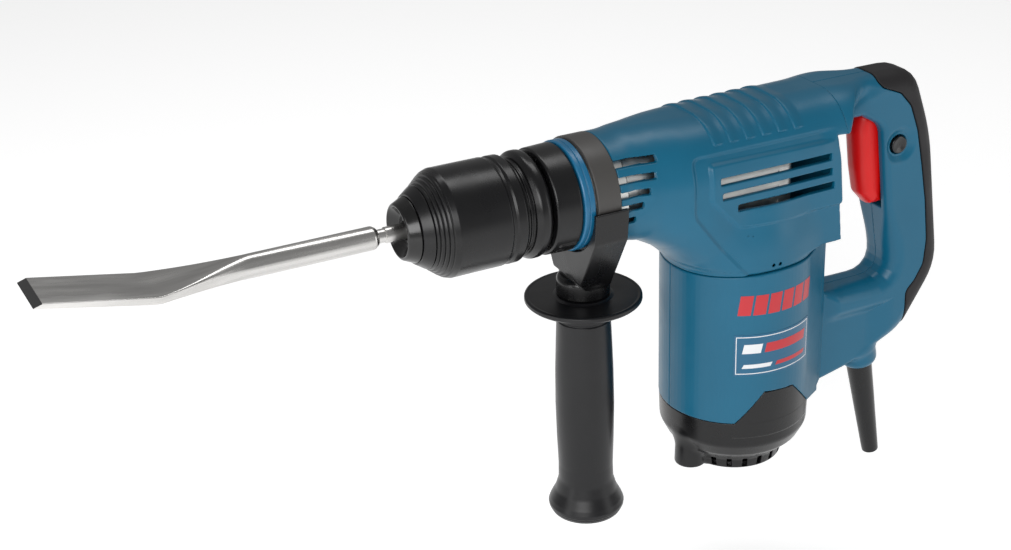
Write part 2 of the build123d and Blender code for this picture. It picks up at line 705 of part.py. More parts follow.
def clamp_cradle():
    outline = [(-39.2, -1), (39.2, -1), (38, -20), (16, -60), (-16, -60), (-38, -20)]
    face = make_face(Polyline(*outline, close=True))
    body = Plane(origin=(113.4, 0, 0), x_dir=(0, 1, 0), z_dir=(1, 0, 0)) * extrude(face, 23.6)
    body -= rod(100, 150, BAND_R + 0.2)
    body += post(HANDLE_X, 0, -69.2, -50, 17.5) - rod(100, 150, BAND_R + 0.2)
    body -= block(116.9, 135.6, -8.6, 8.6, -54, -30)
    body -= post(HANDLE_X, 0, -70, -50, 4.4)
    return body


def clamp_bolt():
    hexagon = Pos(HANDLE_X, 0, -45.5) * extrude(RegularPolygon(6.2, 6), 3.0)
    return post(HANDLE_X, 0, -104, -45.5, 4.0) + hexagon


def side_grip():
    top = FLANGE_Z
    outline = [(top + 1.0, 4.1), (top + 1.0, 17.6), (top, 18.6), (top, FLANGE_R - 1),
               (top - 1, FLANGE_R), (top - 3, FLANGE_R), (top - 4.2, FLANGE_R - 2), (-77.5, 19.5),
               (-78, 18.0), (-86, 17.8), (-86.6, 16.8), (-87.4, 16.8), (-88, 17.4), (-105, 18.2),
               (-125, 18.9), (-150, 19.2), (-175, 18.8), (-195, 18.0), (-206, 18.0), (-213, 19.8),
               (-219, 23.6), (-224, 25.2), (-228, 24.6), (-231, 21.5), (-232.4, 16), (-232.4, 0),
               (-108, 0), (-108, 4.1), (-92, 4.1), (-92, 8.2), (-80, 8.2), (-80, 4.1)]
    return upright(outline, HANDLE_X)


def grip_insert():
    return upright([(-91.9, 4.06), (-80.1, 4.06), (-80.1, 8.1), (-91.9, 8.1)], HANDLE_X)


# ---- all sub-parts --------------------------------------------------------------
upper_bearing, upper_bearing_hub = bearing(MOTOR_X, -56, -48, 4.0, 11.0)
lower_bearing, lower_bearing_hub = bearing(MOTOR_X, -171.8, -164.5, 4.0, 9.5)
crank_bearing, crank_bearing_hub = bearing(CRANK_X, -40, -30, 5.0, 11.0)

NODES = {
    "chisel": chisel(),
    "tool_holder": tool_holder(),
    "dust_cap": dust_cap(),
    "stop_ring": stop_ring(),
    "holder_ring": holder_ring(),
    "locking_sleeve": locking_sleeve(),
    "locking_ring": locking_ring(),
    "sleeve_spring": coil(30.4, 43.8, 13.0, 0.9, 6),
    "locking_ball_top": locking_ball(1),
    "locking_ball_bottom": locking_ball(-1),
    "adjusting_ring": adjusting_ring(),
    "front_collar": front_collar(),
    "impact_bolt": impact_bolt(),
    "hammer_tube": hammer_tube(),
    "ram": ram(),
    "ram_seal": seal_ring(131.1, 133.1),
    "piston": piston(),
    "piston_seal": seal_ring(160.5, 162.5),
    "wrist_pin": wrist_pin(),
    "connecting_rod": connecting_rod(),
    "crank_gear": crank_gear(),
    "crank_bearing": crank_bearing,
    "crank_bearing_hub": crank_bearing_hub,
    "gear_housing": gear_housing(),
    "gear_cover": gear_cover(),
    "bearing_shield": bearing_shield(),
    "case_screws": case_screws(),
    "armature_shaft": armature_shaft(),
    "armature_core": armature_core(),
    "armature_winding": armature_winding(),
    "commutator": commutator(),
    "cooling_fan": cooling_fan(),
    "upper_bearing": upper_bearing,
    "lower_bearing": lower_bearing,
    "armature_bearing_hubs": gather([upper_bearing_hub, lower_bearing_hub]),
    "stator": stator(),
    "field_coils": field_coils(),
    "brush_holders": brush_holders(),
    "carbon_brushes": carbon_brushes(),
    "upper_housing": upper_housing(),
    "motor_housing": motor_housing(),
    "motor_cap": motor_cap(),
    "rating_label": rating_label(),
    "handle_left_shell": handle_shell(-1),
    "handle_right_shell": handle_shell(1),
    "housing_screws": housing_screws(),
    "rear_pad": rear_pad(),
    "strain_relief": strain_relief(),
    "trigger": trigger(),
    "trigger_pin": trigger_pin(),
    "lock_button": lock_button(),
    "switch_module": switch_module(),
    "noise_filter": noise_filter(),
    "terminal_block": terminal_block(),
    "cord_clamp": cord_clamp(),
    "clamp_band": clamp_band(),
    "clamp_cradle": clamp_cradle(),
    "clamp_bolt": clamp_bolt(),
    "side_grip": side_grip(),
    "grip_insert": grip_insert(),
}

os.makedirs("parts", exist_ok=True)
for name, shape in NODES.items():
    export_step(shape, os.path.join("parts", name + ".step"))
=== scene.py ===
import json
import math

import bpy
import numpy as np
from mathutils import Matrix, Vector


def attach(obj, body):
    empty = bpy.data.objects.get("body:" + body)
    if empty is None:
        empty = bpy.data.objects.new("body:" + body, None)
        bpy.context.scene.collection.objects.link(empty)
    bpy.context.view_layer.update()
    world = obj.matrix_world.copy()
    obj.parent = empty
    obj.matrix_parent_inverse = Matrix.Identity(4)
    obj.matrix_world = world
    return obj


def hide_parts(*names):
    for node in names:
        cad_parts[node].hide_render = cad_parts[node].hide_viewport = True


# Looks of the chipping hammer. Lengths in this file are millimetres, in the frame of the
# CAD model, and become metres where a mesh is made.

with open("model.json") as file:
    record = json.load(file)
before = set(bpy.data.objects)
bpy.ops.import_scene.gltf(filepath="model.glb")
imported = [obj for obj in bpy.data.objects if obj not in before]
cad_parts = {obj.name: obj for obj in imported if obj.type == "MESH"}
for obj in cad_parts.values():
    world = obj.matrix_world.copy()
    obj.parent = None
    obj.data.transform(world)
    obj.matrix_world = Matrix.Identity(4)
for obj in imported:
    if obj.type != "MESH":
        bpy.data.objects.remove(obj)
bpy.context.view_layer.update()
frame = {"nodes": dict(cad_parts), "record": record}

MM = 0.001
TURN_STEPS = 192            # facets round a turned part
MAX_TRIANGLES = 180000      # per piece


# ---- outlines ---------------------------------------------------------------------
def rounded(points, radius, steps=5, closed=True):
    """Corners (u, v) or (u, v, own radius) with each corner eased into a short curve."""
    out = []
    n = len(points)
    for i, point in enumerate(points):
        corner = np.array(point[:2], float)
        r = point[2] if len(point) > 2 else radius
        if r <= 0 or (not closed and i in (0, n - 1)):
            out.append(tuple(corner))
            continue
        before = np.array(points[i - 1][:2], float) - corner
        after = np.array(points[(i + 1) % n][:2], float) - corner
        la, lb = np.linalg.norm(before), np.linalg.norm(after)
        cosine = np.clip(before @ after / (la * lb), -1, 1)
        half = math.acos(cosine) / 2
        if half > 1.55:
            out.append(tuple(corner))
            continue
        reach = min(r / math.tan(half), 0.49 * la, 0.49 * lb)
        start, end = corner + before / la * reach, corner + after / lb * reach
        for k in range(steps + 1):
            s = k / steps
            out.append(tuple((1 - s) ** 2 * start + 2 * s * (1 - s) * corner + s * s * end))
    return out


def smooth_curve(*points):
    """Monotone cubic curve through (u, v) points, as a function."""
    u, v = np.array(points, float).T
    step = np.diff(u)
    slope = np.diff(v) / step
    tangent = np.zeros(len(u))
    for i in range(1, len(u) - 1):
        if slope[i - 1] * slope[i] > 0:
            tangent[i] = 2 * slope[i - 1] * slope[i] / (slope[i - 1] + slope[i])
    fine = np.linspace(u[0], u[-1], 600)
    i = np.clip(np.searchsorted(u, fine) - 1, 0, len(step) - 1)
    t = (fine - u[i]) / step[i]
    value = ((2 * t**3 - 3 * t**2 + 1) * v[i] + (t**3 - 2 * t**2 + t) * step[i] * tangent[i]
             + (3 * t**2 - 2 * t**3) * v[i + 1] + (t**3 - t**2) * step[i] * tangent[i + 1])
    return lambda x: np.interp(x, fine, value)


class Outline:
    """Signed distance to a closed outline in a plane, negative inside, worked out once."""

    def __init__(self, points, margin=24.0, pitch=0.5):
        corners = np.array(points, float)
        self.low = corners.min(0) - margin
        size = corners.max(0) + margin - self.low
        self.pitch = pitch
        self.count = np.ceil(size / pitch).astype(int) + 1
        u = self.low[0] + pitch * np.arange(self.count[0])[:, None]
        v = self.low[1] + pitch * np.arange(self.count[1])[None, :]
        nearest = np.full(self.count, 1e9)
        inside = np.zeros(self.count, bool)
        for a, b in zip(corners, np.roll(corners, -1, 0)):
            d = b - a
            length2 = max(d @ d, 1e-12)
            t = np.clip(((u - a[0]) * d[0] + (v - a[1]) * d[1]) / length2, 0, 1)
            nearest = np.minimum(nearest, (u - a[0] - t * d[0]) ** 2 + (v - a[1] - t * d[1]) ** 2)
            if a[1] != b[1]:
                spans = (a[1] > v) != (b[1] > v)
                inside ^= spans & (u < a[0] + (v - a[1]) * d[0] / d[1])
        self.value = np.sqrt(nearest) * np.where(inside, -1, 1)

    def __call__(self, u, v):
        i = (u - self.low[0]) / self.pitch
        j = (v - self.low[1]) / self.pitch
        i, j = np.clip(i, 0, self.count[0] - 1.001), np.clip(j, 0, self.count[1] - 1.001)
        i0, j0 = i.astype(int), j.astype(int)
        fi, fj = i - i0, j - j0
        g = self.value
        near = g[i0, j0] * (1 - fi) + g[i0 + 1, j0] * fi
        far = g[i0, j0 + 1] * (1 - fi) + g[i0 + 1, j0 + 1] * fi
        return near * (1 - fj) + far * fj


# ---- fields: negative inside, near to true distance -------------------------------
def join(a, b, r):
    """Union with a fillet of radius r."""
    return np.maximum(r, np.minimum(a, b)) - np.hypot(np.maximum(r - a, 0), np.maximum(r - b, 0))


def meet(a, b, r):
    """Intersection with its edge rounded to radius r."""
    return np.minimum(-r, np.maximum(a, b)) + np.hypot(np.maximum(r + a, 0), np.maximum(r + b, 0))


def cut(a, b, r):
    """a with b taken away and the new edge rounded."""
    return meet(a, -b, r)


def ramp(value, start, end):
    """0 below start, 1 above end, smooth between."""
    t = np.clip((value - start) / (end - start), 0, 1)
    return t * t * (3 - 2 * t)


def slot(u, v, u0, u1, v0, half, corner=1.0):
    """Slot between u0 and u1 with rounded corners."""
    p = np.abs(u - (u0 + u1) / 2) - (u1 - u0) / 2 + corner
    q = np.abs(v - v0) - half + corner
    return np.hypot(np.maximum(p, 0), np.maximum(q, 0)) + np.minimum(np.maximum(p, q), 0) - corner


# ---- meshes -----------------------------------------------------------------------
NET_BLOCK = 8               # grid steps per block of the coarse pass
NET_BATCH = 200             # blocks filled at a time
CORNERS = [(a, b, c) for a in (0, 1) for b in (0, 1) for c in (0, 1)]


def sampled(field, low, high, step):
    """The field on a grid, worked out closely only in the blocks near its surface."""
    size = step * NET_BLOCK
    count = np.ceil((np.array(high) - low) / size).astype(int)
    middle = [low[k] + size * (np.arange(count[k]) + 0.5) for k in range(3)]
    rough = field(middle[0][:, None, None], middle[1][None, :, None], middle[2][None, None, :])
    rough = np.broadcast_to(rough, count)
    reach = size * 0.87 * 1.35 + 1.0
    active = np.argwhere(np.abs(rough) < reach)
    grid = rough
    for axis in range(3):
        grid = np.repeat(grid, NET_BLOCK, axis)
    grid = np.pad(grid.astype(np.float32), ((0, 1), (0, 1), (0, 1)), mode="edge")
    span = np.arange(NET_BLOCK + 1)
    for start in range(0, len(active), NET_BATCH):
        part = active[start:start + NET_BATCH]
        i = part[:, 0, None, None, None] * NET_BLOCK + span[None, :, None, None]
        j = part[:, 1, None, None, None] * NET_BLOCK + span[None, None, :, None]
        k = part[:, 2, None, None, None] * NET_BLOCK + span[None, None, None, :]
        value = field(low[0] + i * step, low[1] + j * step, low[2] + k * step)
        grid[i, j, k] = np.broadcast_to(value, (len(part),) + (NET_BLOCK + 1,) * 3)
    return grid


def surface_cells(grid):
    """Cells that the surface passes through, and the middle of its crossings in each."""
    inside = grid < 0
    total = np.zeros(np.array(grid.shape) - 1, np.int8)
    for a, b, c in CORNERS:
        total += inside[a:a + total.shape[0], b:b + total.shape[1], c:c + total.shape[2]]
    cells = np.argwhere((total > 0) & (total < 8))
    value = {c: grid[cells[:, 0] + c[0], cells[:, 1] + c[1], cells[:, 2] + c[2]] for c in CORNERS}
    place = np.zeros((len(cells), 3))
    crossings = np.zeros(len(cells))
    for a in CORNERS:
        for axis in range(3):
            if a[axis]:
                continue
            b = tuple(v + (k == axis) for k, v in enumerate(a))
            va, vb = value[a], value[b]
            crosses = (va < 0) != (vb < 0)
            t = np.where(crosses, va / np.where(va == vb, 1, va - vb), 0)
            point = np.array(a, float)[None, :].repeat(len(cells), 0)
            point[:, axis] += t
            place += point * crosses[:, None]
            crossings += crosses
    return cells, cells + place / crossings[:, None]


def quads_round(inside, cells):
    """Quads that join the four cells round each grid edge which the surface crosses."""
    index = np.full(np.array(inside.shape) - 1, -1, np.int32)
    index[tuple(cells.T)] = np.arange(len(cells))
    quads = []
    for axis in range(3):
        p, q = (axis + 1) % 3, (axis + 2) % 3
        here = [slice(None)] * 3
        there = [slice(None)] * 3
        here[axis], there[axis] = slice(None, -1), slice(1, None)
        for other in (p, q):
            here[other] = there[other] = slice(1, -1)
        first, second = inside[tuple(here)], inside[tuple(there)]
        for sign in (True, False):
            edge = np.argwhere(first & ~second if sign else ~first & second)
            edge[:, p] += 1
            edge[:, q] += 1
            ring = []
            for dp, dq in ((-1, -1), (0, -1), (0, 0), (-1, 0)):
                c = edge.copy()
                c[:, p] += dp
                c[:, q] += dq
                ring.append(index[tuple(c.T)])
            ring = np.stack(ring, 1)
            quads.append(ring if sign else ring[:, ::-1])
    return np.concatenate(quads)


def net(field, low, high, step):
    """Surface-net vertices and quads of a field's zero surface inside a box."""
    low = np.array(low, float)
    grid = sampled(field, low, high, step)
    cells, middles = surface_cells(grid)
    return low + middles * step, quads_round(grid < 0, cells)


def slope_of(field, v):
    """A field's value and gradient at points."""
    h = 0.04
    x, y, z = v.T
    grad = np.stack([field(x + h, y, z) - field(x - h, y, z), field(x, y + h, z) - field(x, y - h, z),
                     field(x, y, z + h) - field(x, y, z - h)], 1) / (2 * h)
    return field(x, y, z), grad


def settle(field, vertices, rounds, limit):
    """Moves points onto the field's zero surface."""
    for _ in range(rounds):
        value, grad = slope_of(field, vertices)
        size = np.maximum((grad**2).sum(1), 0.05)
        move = -(value / size)[:, None] * grad
        length = np.maximum(np.linalg.norm(move, axis=1), 1e-9)
        vertices = vertices + move * np.minimum(1, limit / length)[:, None]
    return vertices


def new_object(name, vertices, faces, normals=None):
    mesh = bpy.data.meshes.new(name)
    mesh.from_pydata((np.asarray(vertices) * MM).tolist(), [], [list(map(int, f)) for f in faces])
    mesh.validate()
    mesh.shade_smooth()
    if normals is not None:
        mesh.normals_split_custom_set_from_vertices(np.asarray(normals).tolist())
    thing = bpy.data.objects.new(name, mesh)
    bpy.context.scene.collection.objects.link(thing)
    return thing


def points_of(mesh):
    flat = np.zeros(len(mesh.vertices) * 3, np.float32)
    mesh.vertices.foreach_get("co", flat)
    return flat.reshape(-1, 3).astype(float) / MM


def moulded(name, field, low, high, step=0.8):
    """Piece made from a field: meshed, thinned where it is flat, and shaded by the field's slope."""
    vertices, faces = net(field, low, high, step)
    vertices = settle(field, vertices, 2, step * 0.6)
    thing = new_object(name, vertices, faces)
    if 2 * len(faces) > MAX_TRIANGLES:
        thinner = thing.modifiers.new("thinner", "DECIMATE")
        thinner.ratio = MAX_TRIANGLES / (2 * len(faces))
        thin = bpy.data.meshes.new_from_object(
            thing.evaluated_get(bpy.context.evaluated_depsgraph_get()))
        thing.modifiers.clear()
        old = thing.data
        thing.data = thin
        bpy.data.meshes.remove(old)
    mesh = thing.data
    vertices = settle(field, points_of(mesh), 1, step * 0.3)
    mesh.vertices.foreach_set("co", (vertices * MM).astype(np.float32).ravel())
    _, grad = slope_of(field, vertices)
    grad /= np.maximum(np.linalg.norm(grad, axis=1), 1e-9)[:, None]
    mesh.shade_smooth()
    mesh.update()
    mesh.normals_split_custom_set_from_vertices(grad.tolist())
    return thing


def lathe(name, profile, place):
    """Turned piece from a closed (along, radius) profile; place maps (along, p, q) to x, y, z."""
    profile = np.array(profile, float)
    area = np.sum(profile[:, 0] * np.roll(profile[:, 1], -1) - profile[:, 1] * np.roll(profile[:, 0], -1))
    if area > 0:
        profile = profile[::-1]
    n = len(profile)
    ahead = np.roll(profile, -1, 0) - profile
    facing = np.stack([-ahead[:, 1], ahead[:, 0]], 1)
    facing = facing + np.roll(facing, 1, 0)
    facing /= np.maximum(np.linalg.norm(facing, axis=1), 1e-9)[:, None]
    angle = 2 * np.pi * np.arange(TURN_STEPS) / TURN_STEPS
    along = np.repeat(profile[:, 0], TURN_STEPS)
    radius = np.repeat(np.maximum(profile[:, 1], 0), TURN_STEPS)
    turn = np.tile(angle, n)
    vertices = place(along, radius * np.cos(turn), radius * np.sin(turn))
    origin = place(np.zeros(1), np.zeros(1), np.zeros(1))
    fa, fr = np.repeat(facing[:, 0], TURN_STEPS), np.repeat(facing[:, 1], TURN_STEPS)
    normals = place(fa, fr * np.cos(turn), fr * np.sin(turn)) - origin
    faces = []
    for i in range(n):
        j = (i + 1) % n
        if profile[i, 1] <= 1e-6 and profile[j, 1] <= 1e-6:
            continue
        for k in range(TURN_STEPS):
            m = (k + 1) % TURN_STEPS
            faces.append((i * TURN_STEPS + k, i * TURN_STEPS + m, j * TURN_STEPS + m, j * TURN_STEPS + k))
    return new_object(name, vertices, faces, normals)


# ---- casing: hood and D-handle as one flowing shape --------------------------------
MOTOR_X, MOTOR_R = 241.0, 51.0
REAR_X = 297.0              # hood to D-handle
GRIP_HALF = 18.0            # half thickness of the D-handle
WEB_HALF = 13.5             # half thickness of the web between motor and grip
TAIL_SIN, TAIL_COS = 0.6428, 0.766      # lean of the flanks that narrow behind the motor
HOOD_EDGE_Z = -58.0         # lower edge of the hood behind the motor housing's drum
HOOD_FRONT = 133.3
HOOD_WALL = 3.0
HOOD_BORE_R = 33.4          # round bore of the nose
NOSE_R = 36.0
NOSE_START, NOSE_END = 138.0, 152.0     # where the round nose flows into the hood

hood_half = smooth_curve((100, 36.0), (138, 36.0), (158, 38.0), (170, 40.5), (182, 43.0), (196, 44.0),
                         (240, 44.0), (290, 42.8), (345, 41.5), (430, 41.5))
corner_radius = smooth_curve((100, 35.8), (138, 35.9), (155, 36.6), (167, 37.2), (190, 37.6), (240, 37.6),
                             (285, 36.0), (300, 33.0), (315, 25.0), (330, 17.0), (345, 13.0), (430, 13.0))
underside = smooth_curve((100, -36.0), (138, -36.0), (146, -36.7), (154, -38.0), (162, -41.6),
                         (170, -46.4), (178, -52.6), (186, -60.6), (194, -72.0), (205, -96.0),
                         (280, -300.0))
hood_seam = smooth_curve((150, -65.2), (188, -65.2), (215, -63.4), (245, -61.8), (320, -61.8))

TOP_LINE = [(120, 36.0), (138, 36.0), (155, 37.2), (167, 37.8), (190, 38.2), (215, 38.6), (240, 38.9),
            (275, 39.4), (310, 39.6), (340, 39.6)]
HANDLE_BACK = [(371, 39.5, 28), (388, -8, 160), (401.5, -108, 44), (372, -153.5, 34),
               (340, -168, 20), (324, -172.5, 20), (306, -176.5, 20), (292, -180)]
NOSE_BOTTOM = [(205, -97), (194, -72), (186, -60.6), (170, -46.4), (154, -38), (138, -36), (120, -36)]
side_view = Outline(rounded(TOP_LINE + HANDLE_BACK + NOSE_BOTTOM, 0))
finger_room = Outline(rounded([(289.9, 16.5), (327, 14.5, 6), (343, 5, 14), (350.5, -57, 60),
                               (359.5, -110, 15), (305, -109.5, 3), (305, -58.7), (296.9, -58.5)], 0))
flat_side = Outline(rounded([(312, -320), (312, 13, 3), (316.6, 21, 8), (322.4, 26, 8), (330, 29, 12),
                             (344, 30.4, 20), (460, 30.4), (460, -320)], 0))
side_panel = Outline(rounded([(182, 21, 6), (182, -16, 12), (198, -37, 14), (224, -68), (330, -68),
                              (330, 21)], 0))
slot_frame = Outline(rounded([(193, 16, 3), (288.5, 15, 3), (292, 0, 20), (294.5, -30, 3), (214, -29, 6),
                              (193, -7, 6)], 0))

SLOTS = ((199, 283, 4.7), (200.5, 284, -5.3), (212, 286, -15.1))    # start, end and height
SLOT_HALF, SLOT_INNER_Y = 2.4, 30
VENTS = ((23.8, 161), (15.0, 158), (6.3, 153.5), (-2.2, 149), (-11.0, 144))     # height and end
VENT_START, VENT_HALF, VENT_INNER_Y = 120, 2.1, 10
PIN_HOLES, PIN_HOLE_Z, PIN_HOLE_R = (237.0, 242.0), -58.2, 1.1
PANEL_DEPTH, FRAME_HEIGHT, RIB_HEIGHT = 1.6, 2.2, 1.1
FIRST_RIB, RIB_PITCH, RIB_COUNT = 199.5, 11.9, 6
RIB_FEET = [FIRST_RIB + RIB_PITCH * i for i in range(RIB_COUNT)]


def half_width(x, z):
    """Half thickness of the casing at a place in its side view."""
    hood = hood_half(x)
    flare = ramp(flat_side(x, z), 0.0, 15.0) * (1 - ramp(x, 300, 346))
    arm = GRIP_HALF + (hood - GRIP_HALF) * flare
    web = np.clip((MOTOR_R - TAIL_SIN * (x - MOTOR_X)) / TAIL_COS, WEB_HALF, 45)
    tube = np.maximum(ramp(z, -134, -124) * ramp(x, 302, 316), ramp(x, 340, 362))
    return np.where(z > -60, arm, web + (GRIP_HALF - web) * tube)


def edge_radius(x, z):
    """Rounding of the casing's edges: full on hood and grip, tight round the lower web."""
    full = corner_radius(x)
    web = ramp(-z, 122, 138) * (1 - ramp(x, 336, 362))
    return full + (4.0 - full) * web


def relief(x, y, z):
    """Height of the shallow moulded detail on the hood's skin."""
    side = ramp(np.abs(y), 20, 28) * (1 - ramp(x, 276, 291) * ramp(z, 4, 15))
    panel = -PANEL_DEPTH * (1 - ramp(side_panel(x, z), -1.6, 1.6)) * side
    raised = FRAME_HEIGHT * (1 - ramp(slot_frame(x, z), -1.5, 1.5)) * side
    ribs = 0.0
    for foot in RIB_FEET:
        ribs = ribs + ramp(x - foot, -0.5, 0.5) * (1 - ramp(x - foot, 0.6, 9.0))
    return panel + raised + RIB_HEIGHT * ribs * ramp(z, 25.6, 26.8)


def casing(x, y, z):
    """Outer skin of hood and D-handle together."""
    body = meet(side_view(x, z), np.abs(y) - half_width(x, z), edge_radius(x, z))
    nose = np.hypot(y, z) - NOSE_R
    body = body + (nose - body) * (1 - ramp(x, NOSE_START, NOSE_END))
    # the hand opening's edge is rounder towards the grip and low behind the motor
    edge = 2.0 + 3.0 * ramp(x, 298, 330) + 7.0 * ramp(-z, 52, 88) * ramp(x, 299, 320)
    return cut(body, finger_room(x, z), edge)


def hood_skin(x, y, z):
    """Hood's outside: the casing, trimmed below and joined to a skirt round the motor."""
    body = casing(x, y, z)
    # the underside starts further back on the flanks than in the middle
    inward = 22.0 * (y / 44.0) ** 2
    body = meet(body, (underside(x - inward) - z) * 0.72, 5)
    body = meet(body, HOOD_EDGE_Z - z, 1.2)
    skirt_r = 43.0 + 8.0 * ramp(-z, 10, 50)
    skirt = (np.hypot(x - MOTOR_X, y) - skirt_r) * 0.98
    return join(body, meet(skirt, z + 12, 10), 7)


def hood(x, y, z):
    """Hollow hood with its moulded detail, vents and slots."""
    skin = hood_skin(x, y, z)
    inner = meet(skin + HOOD_WALL, x - REAR_X + HOOD_WALL, 1.5)
    inner = np.maximum(inner, -46.0 - 40.0 * ramp(x, 205, 225) - z)
    bore = np.maximum(np.hypot(y, z) - HOOD_BORE_R, x - NOSE_END)
    hollow = np.where(x < NOSE_END, bore, np.minimum(inner, bore))
    body = meet(skin - relief(x, y, z), hood_seam(x) - z, 1.0)
    body = meet(body, HOOD_FRONT - x, 0.8)
    body = np.maximum(body, x - REAR_X)
    body = cut(body, hollow, 0.2)
    for level, end in VENTS:
        vent = slot(x, z, VENT_START, end, level, VENT_HALF)
        body = cut(body, np.maximum(vent, VENT_INNER_Y - np.abs(y)), 0.35)
    for start, end, level in SLOTS:
        opening = slot(x, z, start, end, level, SLOT_HALF)
        body = cut(body, np.maximum(opening, SLOT_INNER_Y - np.abs(y)), 0.6)
    for hole in PIN_HOLES:
        pin = np.maximum(np.hypot(x - hole, z - PIN_HOLE_Z) - PIN_HOLE_R, 48 - np.abs(y))
        body = cut(body, pin, 0.3)
    return body


# ---- D-handle ----------------------------------------------------------------------
pad_zone = Outline(rounded([(339, 80), (339, 36, 4), (342, 32, 4), (348, 29.6, 6), (356, 26.2, 8),
                            (365, 16, 14), (372, -3, 20), (377.5, -29, 30), (382.5, -56, 30),
                            (386, -86, 30), (384.5, -104, 12), (378, -115, 8), (371, -122, 8),
                            (372, -160, 4), (430, -190), (430, 80)], 0))
trigger_room = Outline(rounded([(300, 15), (352, 15, 4), (357, 8, 4), (362, -57, 3), (300, -57)], 0))
trigger_face = Outline(rounded([(352, 13, 3), (340, 15.5, 6), (331.5, 12.5, 8), (328.6, 0, 14),
                                (332.0, -28, 40), (335.6, -46, 6), (344, -55.5, 5), (355, -55.5, 3),
                                (356, 8, 4)], 0))
TRIGGER_X, TRIGGER_Z = 349.0, 6.0       # the trigger's pin
TRIGGER_HALF, TRIGGER_PIN_R = 10.0, 2.05
LOCK_X, LOCK_Z = 358.0, -11.0
LOCK_DISH_R, LOCK_DISH_DEPTH, LOCK_BORE_R = 8.4, 2.6, 6.9
CORD_BOSS_R, CORD_POCKET_R = 13.0, 9.3
CORD_TOP = np.array((347.0, 0.0, -176.0))
CORD_END = np.array((362.5, 0.0, -255.5))
CORD_LENGTH = float(np.linalg.norm(CORD_END - CORD_TOP))
CORD_DOWN = (CORD_END - CORD_TOP) / CORD_LENGTH


def along_cord(x, y, z):
    """Distance down the cord's axis from its top, and distance from that axis."""
    down = (x - CORD_TOP[0]) * CORD_DOWN[0] + (z - CORD_TOP[2]) * CORD_DOWN[2]
    side = (x - CORD_TOP[0]) * CORD_DOWN[2] - (z - CORD_TOP[2]) * CORD_DOWN[0]
    return down, np.hypot(side, y)


def handle(x, y, z):
    """Both halves of the D-handle, with room for its pad, trigger, button and cord sleeve."""
    body = casing(x, y, z)
    down, away = along_cord(x, y, z)
    boss = meet(meet(away - CORD_BOSS_R, down - 3.5, 6.0), -14.0 - down, 4)
    body = join(body, boss, 5)
    body = cut(body, np.maximum(away - CORD_POCKET_R, -8 - down), 0.8)
    body = cut(body, pad_zone(x, z) - 0.35, 0.5)
    body = cut(body, np.maximum(trigger_room(x, z), np.abs(y) - 10.4), 1.0)
    ring = np.hypot(x - LOCK_X, z - LOCK_Z)
    dish = (ring - LOCK_DISH_R - 1.7 * np.maximum(-y - GRIP_HALF + LOCK_DISH_DEPTH, 0)) * 0.51
    body = cut(body, np.maximum(dish, y + GRIP_HALF - LOCK_DISH_DEPTH), 0.6)
    return cut(body, np.maximum(ring - LOCK_BORE_R, y + 9.0), 0.4)


def handle_half(side):
    """Field of one half shell: side is -1 for the near half and 1 for the far half."""
    def field(x, y, z):
        body = np.maximum(handle(x, y, z), REAR_X - 0.05 - x)
        return meet(body, 0.04 - side * y, 0.35)
    return field


def rear_pad(x, y, z):
    body = casing(x, y, z) - 0.55
    return meet(body, pad_zone(x, z) + 0.15, 0.9)


def trigger(x, y, z):
    body = meet(trigger_face(x, z), np.abs(y) - TRIGGER_HALF, 9.0)
    pin = np.hypot(x - TRIGGER_X, z - TRIGGER_Z) - TRIGGER_PIN_R
    return np.maximum(body, -pin)


# ---- motor housing and cap ---------------------------------------------------------
CAP_SEAM = -171.0
arc = [(MOTOR_X + MOTOR_R * math.cos(math.radians(a)), MOTOR_R * math.sin(math.radians(a)))
       for a in range(50, 311, 4)]
motor_plan = Outline(arc + [(312, -7.2), (312, 7.2)])
cap_tab = Outline([(212.5, CAP_SEAM - 2), (214.5, CAP_SEAM), (232.6, -148.6), (255.4, -150.2),
                   (274.5, CAP_SEAM), (276, CAP_SEAM - 2), (276, -182), (212.5, -182)])
cap_wall = Outline(rounded([(0.0, -215.5), (33.2, -215.5, 1.5), (34.5, -208.5, 1), (36.2, -205.2, 1.5),
                            (40, -203, 4), (45.5, -198, 6), (50.2, -189, 8), (50.7, -171.3, 0.6),
                            (47.6, -171.3, 0.4), (47.3, -187, 6), (42, -195, 5), (34, -201, 3),
                            (31.2, -212.5, 1), (0.0, -212.5)], 0))
LOBE_X, LOBE_Y = 202.6, -7.2            # screw boss
PEG_X, PEG_Y, PEG_R = 213.5, -15.5, 4.2
CAP_SLOTS, CAP_SLOT_Z = 20, -210.9
CASE_WALL = 3.2
CASE_SLOPE_X, CASE_SLOPE = 268, 0.3     # where the case's lower edge starts to drop, and how fast


def motor_case(x, y, z):
    drum = np.hypot(x - MOTOR_X, y) - MOTOR_R
    body = meet(motor_plan(x, y), z - HOOD_EDGE_Z + 0.4, 0.9)
    body = cut(body, np.maximum(hood_seam(x) - 0.45 - z, drum - 0.3), 0.9)
    body = np.maximum(body, x - REAR_X)
    lower_edge = np.where(x < CASE_SLOPE_X, CAP_SEAM, CAP_SEAM - CASE_SLOPE * (x - CASE_SLOPE_X))
    body = meet(body, lower_edge - z, 0.7)
    tab = np.maximum(cap_tab(x, z) - 0.35, -3.4 - drum)
    body = cut(body, tab, 0.6)
    body = np.maximum(body, -(drum + CASE_WALL))
    line = np.hypot(x - MOTOR_X + MOTOR_R + 0.15, y) - 0.55
    return cut(body, line, 0.25)


